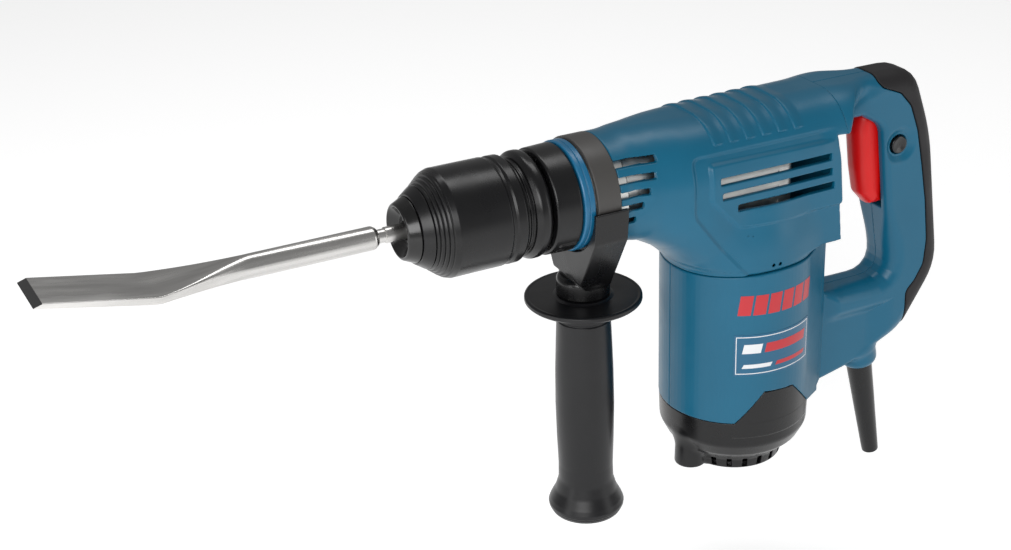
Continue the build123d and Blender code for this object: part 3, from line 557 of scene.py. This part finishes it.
def motor_cap(x, y, z):
    radius = np.hypot(x - MOTOR_X, y)
    body = cap_wall(radius, z)
    tab = meet(meet(cap_tab(x, z), radius - 50.7, 0.5), 48.2 - radius, 0.2)
    body = join(body, tab, 0.3)
    lobe = np.hypot(x - LOBE_X, y - LOBE_Y)
    post = meet(lobe - 10.8 + 0.03 * (z + 214), -214.0 - z, 1.5)
    body = join(body, meet(post, z + 184, 4), 4.0)
    peg = meet(np.hypot(x - PEG_X, y - PEG_Y) - PEG_R, -209.5 - z, 0.8)
    body = join(body, np.maximum(np.maximum(peg, z + 196), 30 - radius), 0.6)
    angle = np.arctan2(y, x - MOTOR_X)
    pitch = 2 * math.pi / CAP_SLOTS
    local = (np.mod(angle + pitch / 2, pitch) - pitch / 2) * radius
    gap = np.maximum(np.maximum(np.abs(local) - 1.6, np.abs(z - CAP_SLOT_Z) - 3.3), 30.2 - radius)
    body = cut(body, np.maximum(gap, radius - 38), 0.3)
    body = cut(body, np.maximum(lobe - 5.2, z + 212), 0.5)
    return np.maximum(body, -np.maximum(lobe - 2.2, z + 187))


# ---- side handle clamp --------------------------------------------------------------
HANDLE_X = 125.0            # axis of the side handle
BAND_R = 36.2
POST_R = 17.2
NUT_HALF_X, NUT_HALF_Y, NUT_BOTTOM = 8.1, 8.7, -54
CLAMP_BOLT_R = 4.4
cradle_face = Outline(rounded([(-39.4, -0.8, 0.6), (39.4, -0.8, 0.6), (37.6, -21, 6), (15.5, -61, 1.5),
                               (-15.5, -61, 1.5), (-37.6, -21, 6)], 0))


def clamp_cradle(x, y, z):
    """Block under the band, with a post for the grip and a pocket for the nut."""
    body = meet(cradle_face(y, z), np.abs(x - HANDLE_X) - 11.6, 0.9)
    foot = (113.4 - x) * 0.62 + (-55.5 - z) * 0.78
    body = meet(body, foot, 0.5)
    post = meet(np.hypot(x - HANDLE_X, y) - POST_R, -69.3 - z, 0.8)
    post = meet(post, z + 56, 4)
    body = join(body, post, 1.6)
    body = cut(body, np.hypot(y, z) - BAND_R - 0.2, 0.5)
    nut = np.maximum(np.abs(x - HANDLE_X) - NUT_HALF_X, np.abs(y) - NUT_HALF_Y)
    body = np.maximum(body, -np.maximum(nut, NUT_BOTTOM - z))
    return np.maximum(body, -(np.hypot(x - HANDLE_X, y) - CLAMP_BOLT_R))


# ---- turned pieces -----------------------------------------------------------------
def on_barrel(a, p, q):
    return np.stack([a, p, q], 1)


def upright(x0, y0=0.0):
    def place(a, p, q):
        return np.stack([x0 + p, y0 + q, a], 1)
    return place


def on_cord(a, p, q):
    side = np.array((-CORD_DOWN[2], 0.0, CORD_DOWN[0]))
    return CORD_TOP + np.outer(a, -CORD_DOWN) + np.outer(p, side) + np.outer(q, (0.0, 1.0, 0.0))


def across(x0, z0):
    """Along -Y, towards the near side."""
    def place(a, p, q):
        return np.stack([x0 + p, -a, z0 + q], 1)
    return place


def dust_cap():
    return rounded([(5.2, 9.6), (4.8, 6.0), (5.4, 6.2), (5.8, 10.0, 3), (1.2, 14.4, 1.5), (-0.4, 15.8, 1.0),
                    (0.4, 17.4, 2), (7.3, 20.6, 1.0), (7.6, 19.4), (11.8, 19.4), (11.8, 9.6)], 0.25)


def locking_sleeve():
    points = [(7.7, 20.4), (7.9, 21.6, 0.4), (13.8, 25.6, 0.4)]
    x, r = 14.0, 25.2
    for _ in range(4):
        points += [(x, r - 0.8, 0.3), (x + 0.5, r + 0.7, 0.5), (x + 1.8, r + 1.4, 0.5)]
        x, r = x + 2.2, r + 1.75
    points += [(x + 0.1, r - 0.6, 0.3), (x + 0.6, r + 0.5, 0.6), (26.8, 33.9, 2.6), (60.3, 33.8, 1.2),
               (61.6, 32.8, 1.0), (63.6, 32.7, 1.0), (65.0, 33.7, 1.2), (70.4, 33.6, 1.6),
               (72.0, 32.2, 0.6), (72.0, 30.2, 0.2), (30.0, 30.2), (27.0, 26.0), (26.0, 20.4)]
    return rounded(points, 0.2)


def holder_ring():
    return rounded([(69.2, 14.0), (69.2, 29.6), (74.2, 29.6, 0.3), (74.7, 30.3, 0.4), (75.6, 30.3, 0.4),
                    (76.1, 29.6, 0.3), (77.4, 29.7, 0.3), (77.6, 31.2, 0.8), (80.6, 33.9, 4.0),
                    (85.6, 33.9, 4.0), (88.4, 31.2, 0.8), (88.4, 14.0)], 0.2)


def front_collar():
    return rounded([(108.6, 27.1), (108.6, 34.4, 0.6), (109.4, 35.0, 0.5), (111.7, 35.0, 0.25),
                    (112.1, 34.4, 0.2), (112.6, 35.0, 0.25), (115.4, 35.0, 0.5), (116.0, 34.4, 0.3),
                    (116.0, 27.1)], 0.2)


def clamp_band():
    return rounded([(117.0, 33.2), (117.0, 36.2, 0.7), (133.0, 36.2, 0.7), (133.0, 33.2)], 0.2)


def side_grip():
    return rounded([(-70.0, 4.2), (-70.0, 17.9, 0.8), (-70.4, 18.4, 0.5), (-70.9, 19.6, 0.6),
                    (-70.9, 35.0, 2), (-70.4, 36.6, 1.0), (-71.2, 37.8, 0.8), (-73.4, 37.9, 0.9),
                    (-74.8, 36.4, 1.6), (-76.0, 27.0, 6), (-78.4, 19.0, 3), (-79.6, 18.1, 1.0),
                    (-85.8, 17.8, 0.6), (-86.6, 16.9, 0.4), (-87.3, 16.9, 0.4), (-88.0, 17.6, 0.6),
                    (-105, 18.3, 30), (-125, 19.0, 30), (-150, 19.3, 30), (-175, 18.8, 30),
                    (-195, 18.1, 20), (-206, 18.3, 14), (-214, 20.6, 12), (-220.5, 24.0, 6),
                    (-223.8, 25.3, 2.0), (-226.0, 25.0, 0.8), (-226.8, 24.2, 0.4), (-227.6, 24.2, 0.4),
                    (-229.8, 23.0, 2), (-231.9, 19.0, 3), (-232.4, 14.0, 2), (-232.4, 0), (-108, 0),
                    (-108, 4.2), (-92, 4.2), (-92, 8.3), (-80, 8.3), (-80, 4.2)], 0.3)


def strain_relief():
    end = -CORD_LENGTH
    return rounded([(2, 3.9), (2, 9.0), (-5.5, 9.0, 1.5), (end + 4.0, 6.1, 20), (end + 0.6, 5.9, 0.8),
                    (end, 5.0, 0.6), (end, 3.9)], 0.2)


def lock_button():
    return rounded([(13.0, 0), (13.0, 5.0), (14.0, 5.0), (14.0, 6.0), (16.9, 6.0, 0.9), (17.2, 5.0, 0.6),
                    (16.6, 2.2, 1.2), (16.4, 0)], 0.2)


MM_PER_DEGREE = 0.59        # round the adjusting ring's skin


def adjusting_ring(x, y, z):
    """Ring with a pointer moulded into its skin low on the near side."""
    away = np.hypot(y, z)
    angle = np.degrees(np.arctan2(-y, -z))
    outer = away - (33.7 + 0.5 * (x - 91) / 15)
    body = meet(meet(outer, 90.4 - x, 1.6), x - 107.6, 1.2)
    body = np.maximum(body, np.where(x < 94.2, 14.1, 29.0) - away)
    strip = slot(x, angle * MM_PER_DEGREE, 95.0, 106.0, 30.5, 1.5)
    body = body - 0.9 * (1 - ramp(strip, -0.4, 0.5))
    ring = np.abs(np.hypot(x - 97.6, angle * MM_PER_DEGREE - 22.5) - 2.6) - 0.45
    return body + 0.55 * (1 - ramp(ring, -0.25, 0.25))


# ---- chisel ------------------------------------------------------------------------
SECTION_STEPS = 10          # points round each corner of a section
FLARE_STEPS, BLADE_STEPS = 26, 14
SHAFT_WIDTH, SHAFT_END_X = 14.6, -92.0
BLADE_ROOT_X, BLADE_LENGTH, BLADE_WIDTH = -150.0, 71.0, 38.0
BLADE_THICK, BLADE_TAPER = 4.6, 1.4
BLADE_BEND = math.radians(11.3)
GRIND_LENGTH = 4.6


def bar_section(width, height, corner):
    """Closed ring of points round a bar's section, corner by corner."""
    corner = min(corner, width / 2, height / 2)
    ring = []
    for quarter in range(4):
        start = quarter * math.pi / 2
        cy = (width / 2 - corner) * (1 if quarter in (0, 3) else -1)
        cz = (height / 2 - corner) * (1 if quarter in (0, 1) else -1)
        for k in range(SECTION_STEPS):
            a = start + k / (SECTION_STEPS - 1) * math.pi / 2
            ring.append((cy + corner * math.cos(a), cz + corner * math.sin(a)))
    return ring


def shaft_stations():
    """Sections of the grooved shank and the round shaft."""
    outline = [(46.0, 4.2), (45.4, 5.0), (-8.4, 5.0), (-8.9, 4.3), (-13.2, 4.3), (-13.6, 5.2),
               (-14.2, 6.0), (-15.2, 6.6), (-16.0, 7.15), (-17.2, 7.3), (SHAFT_END_X, 7.3)]
    return [(x, 2 * r, 2 * r, r, 0.0, 0.0) for x, r in outline]


def flare_stations():
    """Sections from the round shaft to the flat root of the blade."""
    stations = []
    for i in range(1, FLARE_STEPS + 1):
        t = i / FLARE_STEPS
        x = SHAFT_END_X + (BLADE_ROOT_X - SHAFT_END_X) * t
        flare = t**1.9 * (1.9 - 0.9 * t)
        width = SHAFT_WIDTH + (BLADE_WIDTH - SHAFT_WIDTH) * min(flare, 1)
        height = SHAFT_WIDTH - (SHAFT_WIDTH - BLADE_THICK) * (t * t * (3 - 2 * t)) ** 0.7
        corner = SHAFT_WIDTH / 2 * (1 - t) ** 1.7 + 0.5
        lean = BLADE_BEND * ramp(t, 0.82, 1.0) / 2
        stations.append((x, width, height, min(corner, height / 2), 0.0, float(lean)))
    return stations


def blade_stations():
    """Sections of the blade, which bends upward and thins towards its edge."""
    stations = []
    for i in range(1, BLADE_STEPS + 1):
        s = BLADE_LENGTH * i / BLADE_STEPS
        turn = BLADE_BEND * min(1.0, 0.5 + 3.0 * i / BLADE_STEPS)
        rise = (s - 2.0) * math.sin(BLADE_BEND)
        thick = BLADE_THICK - BLADE_TAPER * i / BLADE_STEPS
        x = BLADE_ROOT_X - s * math.cos(BLADE_BEND)
        stations.append((x, BLADE_WIDTH, thick, 0.4, max(rise, 0.0), turn))
    return stations


def chisel():
    """Round shank and shaft, flared into a wide blade bent upward, with a ground edge."""
    stations = shaft_stations() + flare_stations() + blade_stations()
    vertices = []
    for x, width, height, corner, rise, turn in stations:
        for y, w in bar_section(width, height, corner):
            vertices.append((x + w * math.sin(turn), y, rise + w * math.cos(turn)))
    ring = 4 * SECTION_STEPS
    vertices = np.array(vertices)
    tip = vertices[-ring:]
    top = tip[:, 2] > tip[:, 2].mean()
    tip[top, 0] += GRIND_LENGTH * math.cos(BLADE_BEND)
    tip[top, 2] -= GRIND_LENGTH * math.sin(BLADE_BEND)
    faces = []
    for i in range(len(stations) - 1):
        for k in range(ring):
            m = (k + 1) % ring
            faces.append((i * ring + k, i * ring + m, (i + 1) * ring + m, (i + 1) * ring + k))
    faces.append(tuple(range(ring))[::-1])
    last = (len(stations) - 1) * ring
    faces.append(tuple(last + k for k in range(ring)))
    thing = new_object("chisel_steel", vertices, faces)
    thing.data.set_sharp_from_angle(angle=math.radians(32))
    return thing


# ---- materials -----------------------------------------------------------------------
def tree_of(name):
    material = bpy.data.materials.new(name)
    material.use_nodes = True
    nodes = material.node_tree.nodes
    return material, nodes, material.node_tree.links, nodes["Principled BSDF"]


def mixed(nodes, links, factor, low, high):
    """Colour between two colours by a factor socket."""
    mix = nodes.new("ShaderNodeMix")
    mix.data_type = "RGBA"
    links.new(factor, mix.inputs[0])
    for socket, value in ((mix.inputs[6], low), (mix.inputs[7], high)):
        if isinstance(value, tuple):
            socket.default_value = (*value, 1)
        else:
            links.new(value, socket)
    return mix.outputs[2]


def noise_of(nodes, links, scale, detail=3.0, stretch=None):
    """Noise in object space; stretch scales the axes one by one."""
    place = nodes.new("ShaderNodeTexCoord")
    source = place.outputs["Object"]
    if stretch:
        mapping = nodes.new("ShaderNodeMapping")
        mapping.inputs["Scale"].default_value = stretch
        links.new(source, mapping.inputs["Vector"])
        source = mapping.outputs["Vector"]
    noise = nodes.new("ShaderNodeTexNoise")
    noise.inputs["Scale"].default_value = scale
    noise.inputs["Detail"].default_value = detail
    links.new(source, noise.inputs["Vector"])
    return noise.outputs["Fac"]


def spread(nodes, links, value, low, high, start=0.3, end=0.7):
    """A factor moved into a range of numbers."""
    span = nodes.new("ShaderNodeMapRange")
    links.new(value, span.inputs["Value"])
    span.inputs["From Min"].default_value = start
    span.inputs["From Max"].default_value = end
    span.inputs["To Min"].default_value = low
    span.inputs["To Max"].default_value = high
    return span.outputs["Result"]


def bumped(nodes, links, shader, height, strength, depth):
    bump = nodes.new("ShaderNodeBump")
    bump.inputs["Strength"].default_value = strength
    bump.inputs["Distance"].default_value = depth * MM
    links.new(height, bump.inputs["Height"])
    links.new(bump.outputs["Normal"], shader.inputs["Normal"])


def moulded_plastic(name, dark, light, rough, grain, grain_depth, specular=0.5):
    """Moulded plastic or rubber: fine grain, faint mottling and uneven sheen."""
    material, nodes, links, shader = tree_of(name)
    links.new(mixed(nodes, links, noise_of(nodes, links, 28, 4), dark, light), shader.inputs["Base Color"])
    links.new(spread(nodes, links, noise_of(nodes, links, 45, 5), rough - 0.05, rough + 0.06),
              shader.inputs["Roughness"])
    shader.inputs["Specular IOR Level"].default_value = specular
    bumped(nodes, links, shader, noise_of(nodes, links, grain, 2), 0.35, grain_depth)
    return material


def brushed_metal(name, dark, light, rough, stretch, scale=60, depth=0.02):
    """Metal with fine streaks along the less stretched axis."""
    material, nodes, links, shader = tree_of(name)
    streak = noise_of(nodes, links, scale, 6, stretch)
    links.new(mixed(nodes, links, streak, dark, light), shader.inputs["Base Color"])
    links.new(spread(nodes, links, streak, rough - 0.08, rough + 0.12), shader.inputs["Roughness"])
    shader.inputs["Metallic"].default_value = 1.0
    bumped(nodes, links, shader, streak, 0.4, depth)
    return material


BLUE_DARK, BLUE_LIGHT = (0.002, 0.092, 0.168), (0.004, 0.110, 0.195)
FINISHES = {
    "blue_shell": moulded_plastic("blue_plastic", BLUE_DARK, BLUE_LIGHT, 0.34, 900, 0.03, 0.36),
    "collar_blue": moulded_plastic("collar_blue", (0.005, 0.100, 0.210), (0.008, 0.125, 0.250), 0.28,
                                   700, 0.02),
    "black_plastic": moulded_plastic("black_plastic", (0.003, 0.003, 0.003), (0.005, 0.005, 0.006), 0.28,
                                     900, 0.03, 0.38),
    "gloss_rubber": moulded_plastic("gloss_rubber", (0.003, 0.003, 0.003), (0.006, 0.006, 0.006), 0.18,
                                    300, 0.02),
    "band_black": moulded_plastic("band_plastic", (0.042, 0.040, 0.038), (0.056, 0.053, 0.050), 0.46,
                                  800, 0.04),
    "grip_rubber": moulded_plastic("grip_plastic", (0.004, 0.004, 0.005), (0.008, 0.008, 0.009), 0.34,
                                   420, 0.08, 0.36),
    "cap_rubber": moulded_plastic("pad_rubber", (0.010, 0.009, 0.010), (0.017, 0.016, 0.017), 0.55,
                                  500, 0.06, 0.30),
    "trigger_red": moulded_plastic("trigger_red", (0.620, 0.002, 0.002), (0.720, 0.004, 0.003), 0.34,
                                   700, 0.02, 0.35),
    "label": moulded_plastic("label_film", (0.004, 0.088, 0.175), (0.006, 0.100, 0.195), 0.24, 300, 0.01),
    "print_red": moulded_plastic("print_red", (0.420, 0.012, 0.020), (0.500, 0.018, 0.026), 0.32, 500, 0.01),
    "print_white": moulded_plastic("print_white", (0.62, 0.64, 0.66), (0.74, 0.75, 0.77), 0.32, 500, 0.01),
    "ivory_plastic": moulded_plastic("ivory_plastic", (0.55, 0.50, 0.38), (0.62, 0.57, 0.44), 0.45,
                                     500, 0.03),
    "chisel_steel": brushed_metal("chisel_steel", (0.30, 0.29, 0.28), (0.86, 0.85, 0.83), 0.24,
                                  (0.12, 1.6, 1.6)),
    "ground_edge": brushed_metal("ground_edge", (0.05, 0.05, 0.05), (0.16, 0.16, 0.16), 0.34,
                                 (1.6, 0.1, 1.6)),
    "steel": brushed_metal("machined_steel", (0.40, 0.40, 0.40), (0.58, 0.58, 0.57), 0.30, (1, 1, 0.3)),
    "aluminium": brushed_metal("cast_aluminium", (0.62, 0.62, 0.60), (0.82, 0.82, 0.80), 0.38, (1, 1, 1),
                               120, 0.08),
    "laminations": brushed_metal("laminated_iron", (0.12, 0.12, 0.12), (0.24, 0.24, 0.23), 0.45,
                                 (0.1, 0.1, 30)),
    "copper": brushed_metal("copper_wire", (0.62, 0.26, 0.13), (0.82, 0.40, 0.22), 0.32, (0.2, 0.2, 14)),
    "brass": brushed_metal("brass", (0.62, 0.46, 0.16), (0.80, 0.62, 0.26), 0.30, (1, 1, 0.3)),
    "carbon": moulded_plastic("carbon_block", (0.014, 0.014, 0.014), (0.030, 0.030, 0.030), 0.55, 600, 0.05),
}


# ---- printed film ----------------------------------------------------------------------
FILM_STEPS = 24


def wrapped(name, radius, thick, outlines):
    """Thin film wrapped round the motor; each outline is four (angle in degrees, z) corners."""
    vertices, faces = [], []
    for (a0, z0), (a1, z1), (a2, z2), (a3, z3) in outlines:
        base = len(vertices)
        for i in range(FILM_STEPS + 1):
            t = i / FILM_STEPS
            lower = (a0 + (a1 - a0) * t, z0 + (z1 - z0) * t)
            upper = (a3 + (a2 - a3) * t, z3 + (z2 - z3) * t)
            for angle, z in (lower, upper):
                turn = math.radians(angle)
                for r in (radius, radius + thick):
                    vertices.append((MOTOR_X + r * math.cos(turn), r * math.sin(turn), z))
        for i in range(FILM_STEPS):
            a, b = base + 4 * i, base + 4 * (i + 1)
            faces += [(a + 1, b + 1, b + 3, a + 3), (a, a + 2, b + 2, b), (a, b, b + 1, a + 1),
                      (a + 2, a + 3, b + 3, b + 2)]
        last = base + 4 * FILM_STEPS
        faces += [(base, base + 1, base + 3, base + 2), (last, last + 2, last + 3, last + 1)]
    thing = new_object(name, vertices, faces)
    thing.data.set_sharp_from_angle(angle=math.radians(40))
    return thing


def slanted(start, end, low, high, slant=1.6):
    """Four corners of a bar that leans like a parallelogram."""
    return ((start, low), (end, low), (end + slant, high), (start + slant, high))


LABEL = ((-124, -135), (-55, -135), (-55, -105), (-124, -105))
LABEL_FRAME = (slanted(-122.6, -56.4, -107.0, -106.4, 0), slanted(-122.6, -56.4, -133.6, -133.0, 0),
               slanted(-122.6, -122.0, -133.0, -107.0, 0), slanted(-57.0, -56.4, -133.0, -107.0, 0))
LABEL_WHITE = LABEL_FRAME + (slanted(-118, -104, -118.6, -112.0), slanted(-118, -96, -129.4, -126.6))
LABEL_RED = (slanted(-101, -62, -118.6, -112.0), slanted(-92, -62, -129.4, -126.6))
BAR_PITCH, BAR_WIDTH = 11.4, 9.6
BAR_STARTS = [-122 + BAR_PITCH * i for i in range(6)]
DRUM_RED = tuple(slanted(start, start + BAR_WIDTH, -91, -77, 2.2) for start in BAR_STARTS)


# ---- build ---------------------------------------------------------------------------
def put(thing, body, slot_name, *nodes, look=None):
    """Finishes a piece: material, body it rides on and the CAD nodes it stands for."""
    thing.data.materials.clear()
    thing.data.materials.append(FINISHES[look or slot_name])
    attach(thing, body)
    if nodes:
        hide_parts(*nodes)
    return thing


slots = {p["node"]: p["material_slot"] for p in frame["record"]["subparts"]}
for node, thing in frame["nodes"].items():
    thing.data.materials.clear()
    thing.data.materials.append(FINISHES[slots[node]])

blade = put(chisel(), "working_tool", "chisel_steel", "chisel")
blade.data.materials.append(FINISHES["ground_edge"])
ground_face = blade.data.polygons[len(blade.data.polygons) - 1]
ground_face.material_index = 1
put(lathe("dust_cap_skin", dust_cap(), on_barrel),
    "holder", "black_plastic", "dust_cap", look="gloss_rubber")
put(lathe("sleeve_skin", locking_sleeve(), on_barrel),
    "sleeve", "black_plastic", "locking_sleeve")
put(lathe("holder_ring_skin", holder_ring(), on_barrel),
    "holder", "black_plastic", "holder_ring")
put(moulded("adjuster_skin", adjusting_ring, (88, -37, -37), (110, 37, 37), 0.7),
    "adjuster", "black_plastic", "adjusting_ring")
put(lathe("collar_skin", front_collar(), on_barrel),
    "housing", "collar_blue", "front_collar")
put(lathe("clamp_band_skin", clamp_band(), on_barrel),
    "side_mount", "band_black", "clamp_band")
put(moulded("cradle_skin", clamp_cradle, (105, -42, -73), (145, 42, 3), 0.7),
    "side_mount", "black_plastic", "clamp_cradle")
put(lathe("side_grip_skin", side_grip(), upright(HANDLE_X)),
    "side_handle", "grip_rubber", "side_grip")
put(moulded("hood_skin", hood, (130, -56, -72), (300, 56, 44)),
    "housing", "blue_shell", "upper_housing")
put(moulded("motor_case_skin", motor_case, (186, -56, -184), (300, 56, -52)),
    "housing", "blue_shell", "motor_housing")
put(wrapped("label_skin", 51.02, 0.2, (LABEL,)),
    "housing", "label", "rating_label")
put(wrapped("label_print_white", 51.2, 0.06, LABEL_WHITE),
    "housing", "label", look="print_white")
put(wrapped("label_print_red", 51.2, 0.06, LABEL_RED),
    "housing", "label", look="print_red")
put(wrapped("drum_print_red", 51.0, 0.08, DRUM_RED),
    "housing", "label", look="print_red")
put(moulded("motor_cap_skin", motor_cap, (186, -56, -220), (296, 56, -144), 0.7),
    "housing", "black_plastic", "motor_cap")
put(moulded("handle_left_skin", handle_half(-1), (294, -48, -192), (408, 2, 50), 0.7),
    "housing", "blue_shell", "handle_left_shell")
put(moulded("handle_right_skin", handle_half(1), (294, -2, -192), (408, 48, 50), 0.7),
    "housing", "blue_shell", "handle_right_shell")
put(moulded("rear_pad_skin", rear_pad, (334, -22, -166), (408, 22, 50), 0.7),
    "housing", "cap_rubber", "rear_pad")
put(moulded("trigger_skin", trigger, (324, -13, -60), (362, 13, 20), 0.6),
    "trigger_lever", "trigger_red", "trigger")
put(lathe("lock_button_skin", lock_button(), across(LOCK_X, LOCK_Z)),
    "lock", "black_plastic", "lock_button", look="gloss_rubber")
put(lathe("cord_sleeve_skin", strain_relief(), on_cord),
    "housing", "cap_rubber", "strain_relief", look="black_plastic")

# ---- stage ---------------------------------------------------------------------------
FLOOR_Z, FLOOR_REACH = -0.300, 6.0      # metres, as are the lights
floor_mesh = bpy.data.meshes.new("floor")
floor_corners = [(-FLOOR_REACH, -FLOOR_REACH, FLOOR_Z), (FLOOR_REACH, -FLOOR_REACH, FLOOR_Z),
                 (FLOOR_REACH, FLOOR_REACH, FLOOR_Z), (-FLOOR_REACH, FLOOR_REACH, FLOOR_Z)]
floor_mesh.from_pydata(floor_corners, [], [(0, 1, 2, 3)])
floor = bpy.data.objects.new("floor", floor_mesh)
bpy.context.scene.collection.objects.link(floor)
floor_material, _, _, floor_shader = tree_of("floor_white")
floor_shader.inputs["Base Color"].default_value = (0.92, 0.92, 0.92, 1)
floor_shader.inputs["Roughness"].default_value = 0.9
floor_shader.inputs["Emission Color"].default_value = (1, 1, 1, 1)
floor_shader.inputs["Emission Strength"].default_value = 0.45
floor_mesh.materials.append(floor_material)


LIGHT_TARGET = Vector((0.14, 0.0, -0.06))


def softbox(name, place, size, power):
    """Rectangular lamp at a place, turned towards the tool."""
    data = bpy.data.lights.new(name, "AREA")
    data.shape = "RECTANGLE"
    data.size, data.size_y = size
    data.energy = power
    light = bpy.data.objects.new(name, data)
    light.location = place
    light.rotation_euler = (LIGHT_TARGET - Vector(place)).to_track_quat("-Z", "Y").to_euler()
    bpy.context.scene.collection.objects.link(light)


softbox("key", (-1.0, -1.3, 0.7), (1.3, 0.9), 22)
softbox("top", (0.5, 0.5, 1.6), (1.6, 0.5), 9)
softbox("left_strip", (-1.4, -0.2, 0.3), (0.4, 1.4), 5)
softbox("right_fill", (1.3, -1.2, 0.2), (0.6, 1.0), 3)

world = bpy.data.worlds.new("studio")
world.use_nodes = True
world.node_tree.nodes["Background"].inputs[0].default_value = (1, 1, 1, 1)
world.node_tree.nodes["Background"].inputs[1].default_value = 0.30
bpy.context.scene.world = world
bpy.context.scene.view_settings.view_transform = "Standard"

camera_data = bpy.data.cameras.new("camera")
camera_data.lens = 64.095
camera_data.sensor_width = 36
camera_data.clip_end = 20
camera = bpy.data.objects.new("camera", camera_data)
aim = Vector((70.36, 0.0, -44.88)) * MM
distance = 1116.2
azimuth, elevation, roll = math.radians(-25.93), math.radians(25.1), math.radians(-2.01)
back = Vector((math.sin(azimuth) * math.cos(elevation), -math.cos(azimuth) * math.cos(elevation),
               math.sin(elevation)))
level = Vector((0, 0, 1)).cross(back).normalized()
rise = back.cross(level)
right = level * math.cos(roll) + rise * math.sin(roll)
up = rise * math.cos(roll) - level * math.sin(roll)
turned = Matrix((right, up, back)).transposed().to_4x4()
camera.matrix_world = Matrix.Translation(aim + back * distance * MM) @ turned
bpy.context.scene.collection.objects.link(camera)
bpy.context.scene.camera = camera
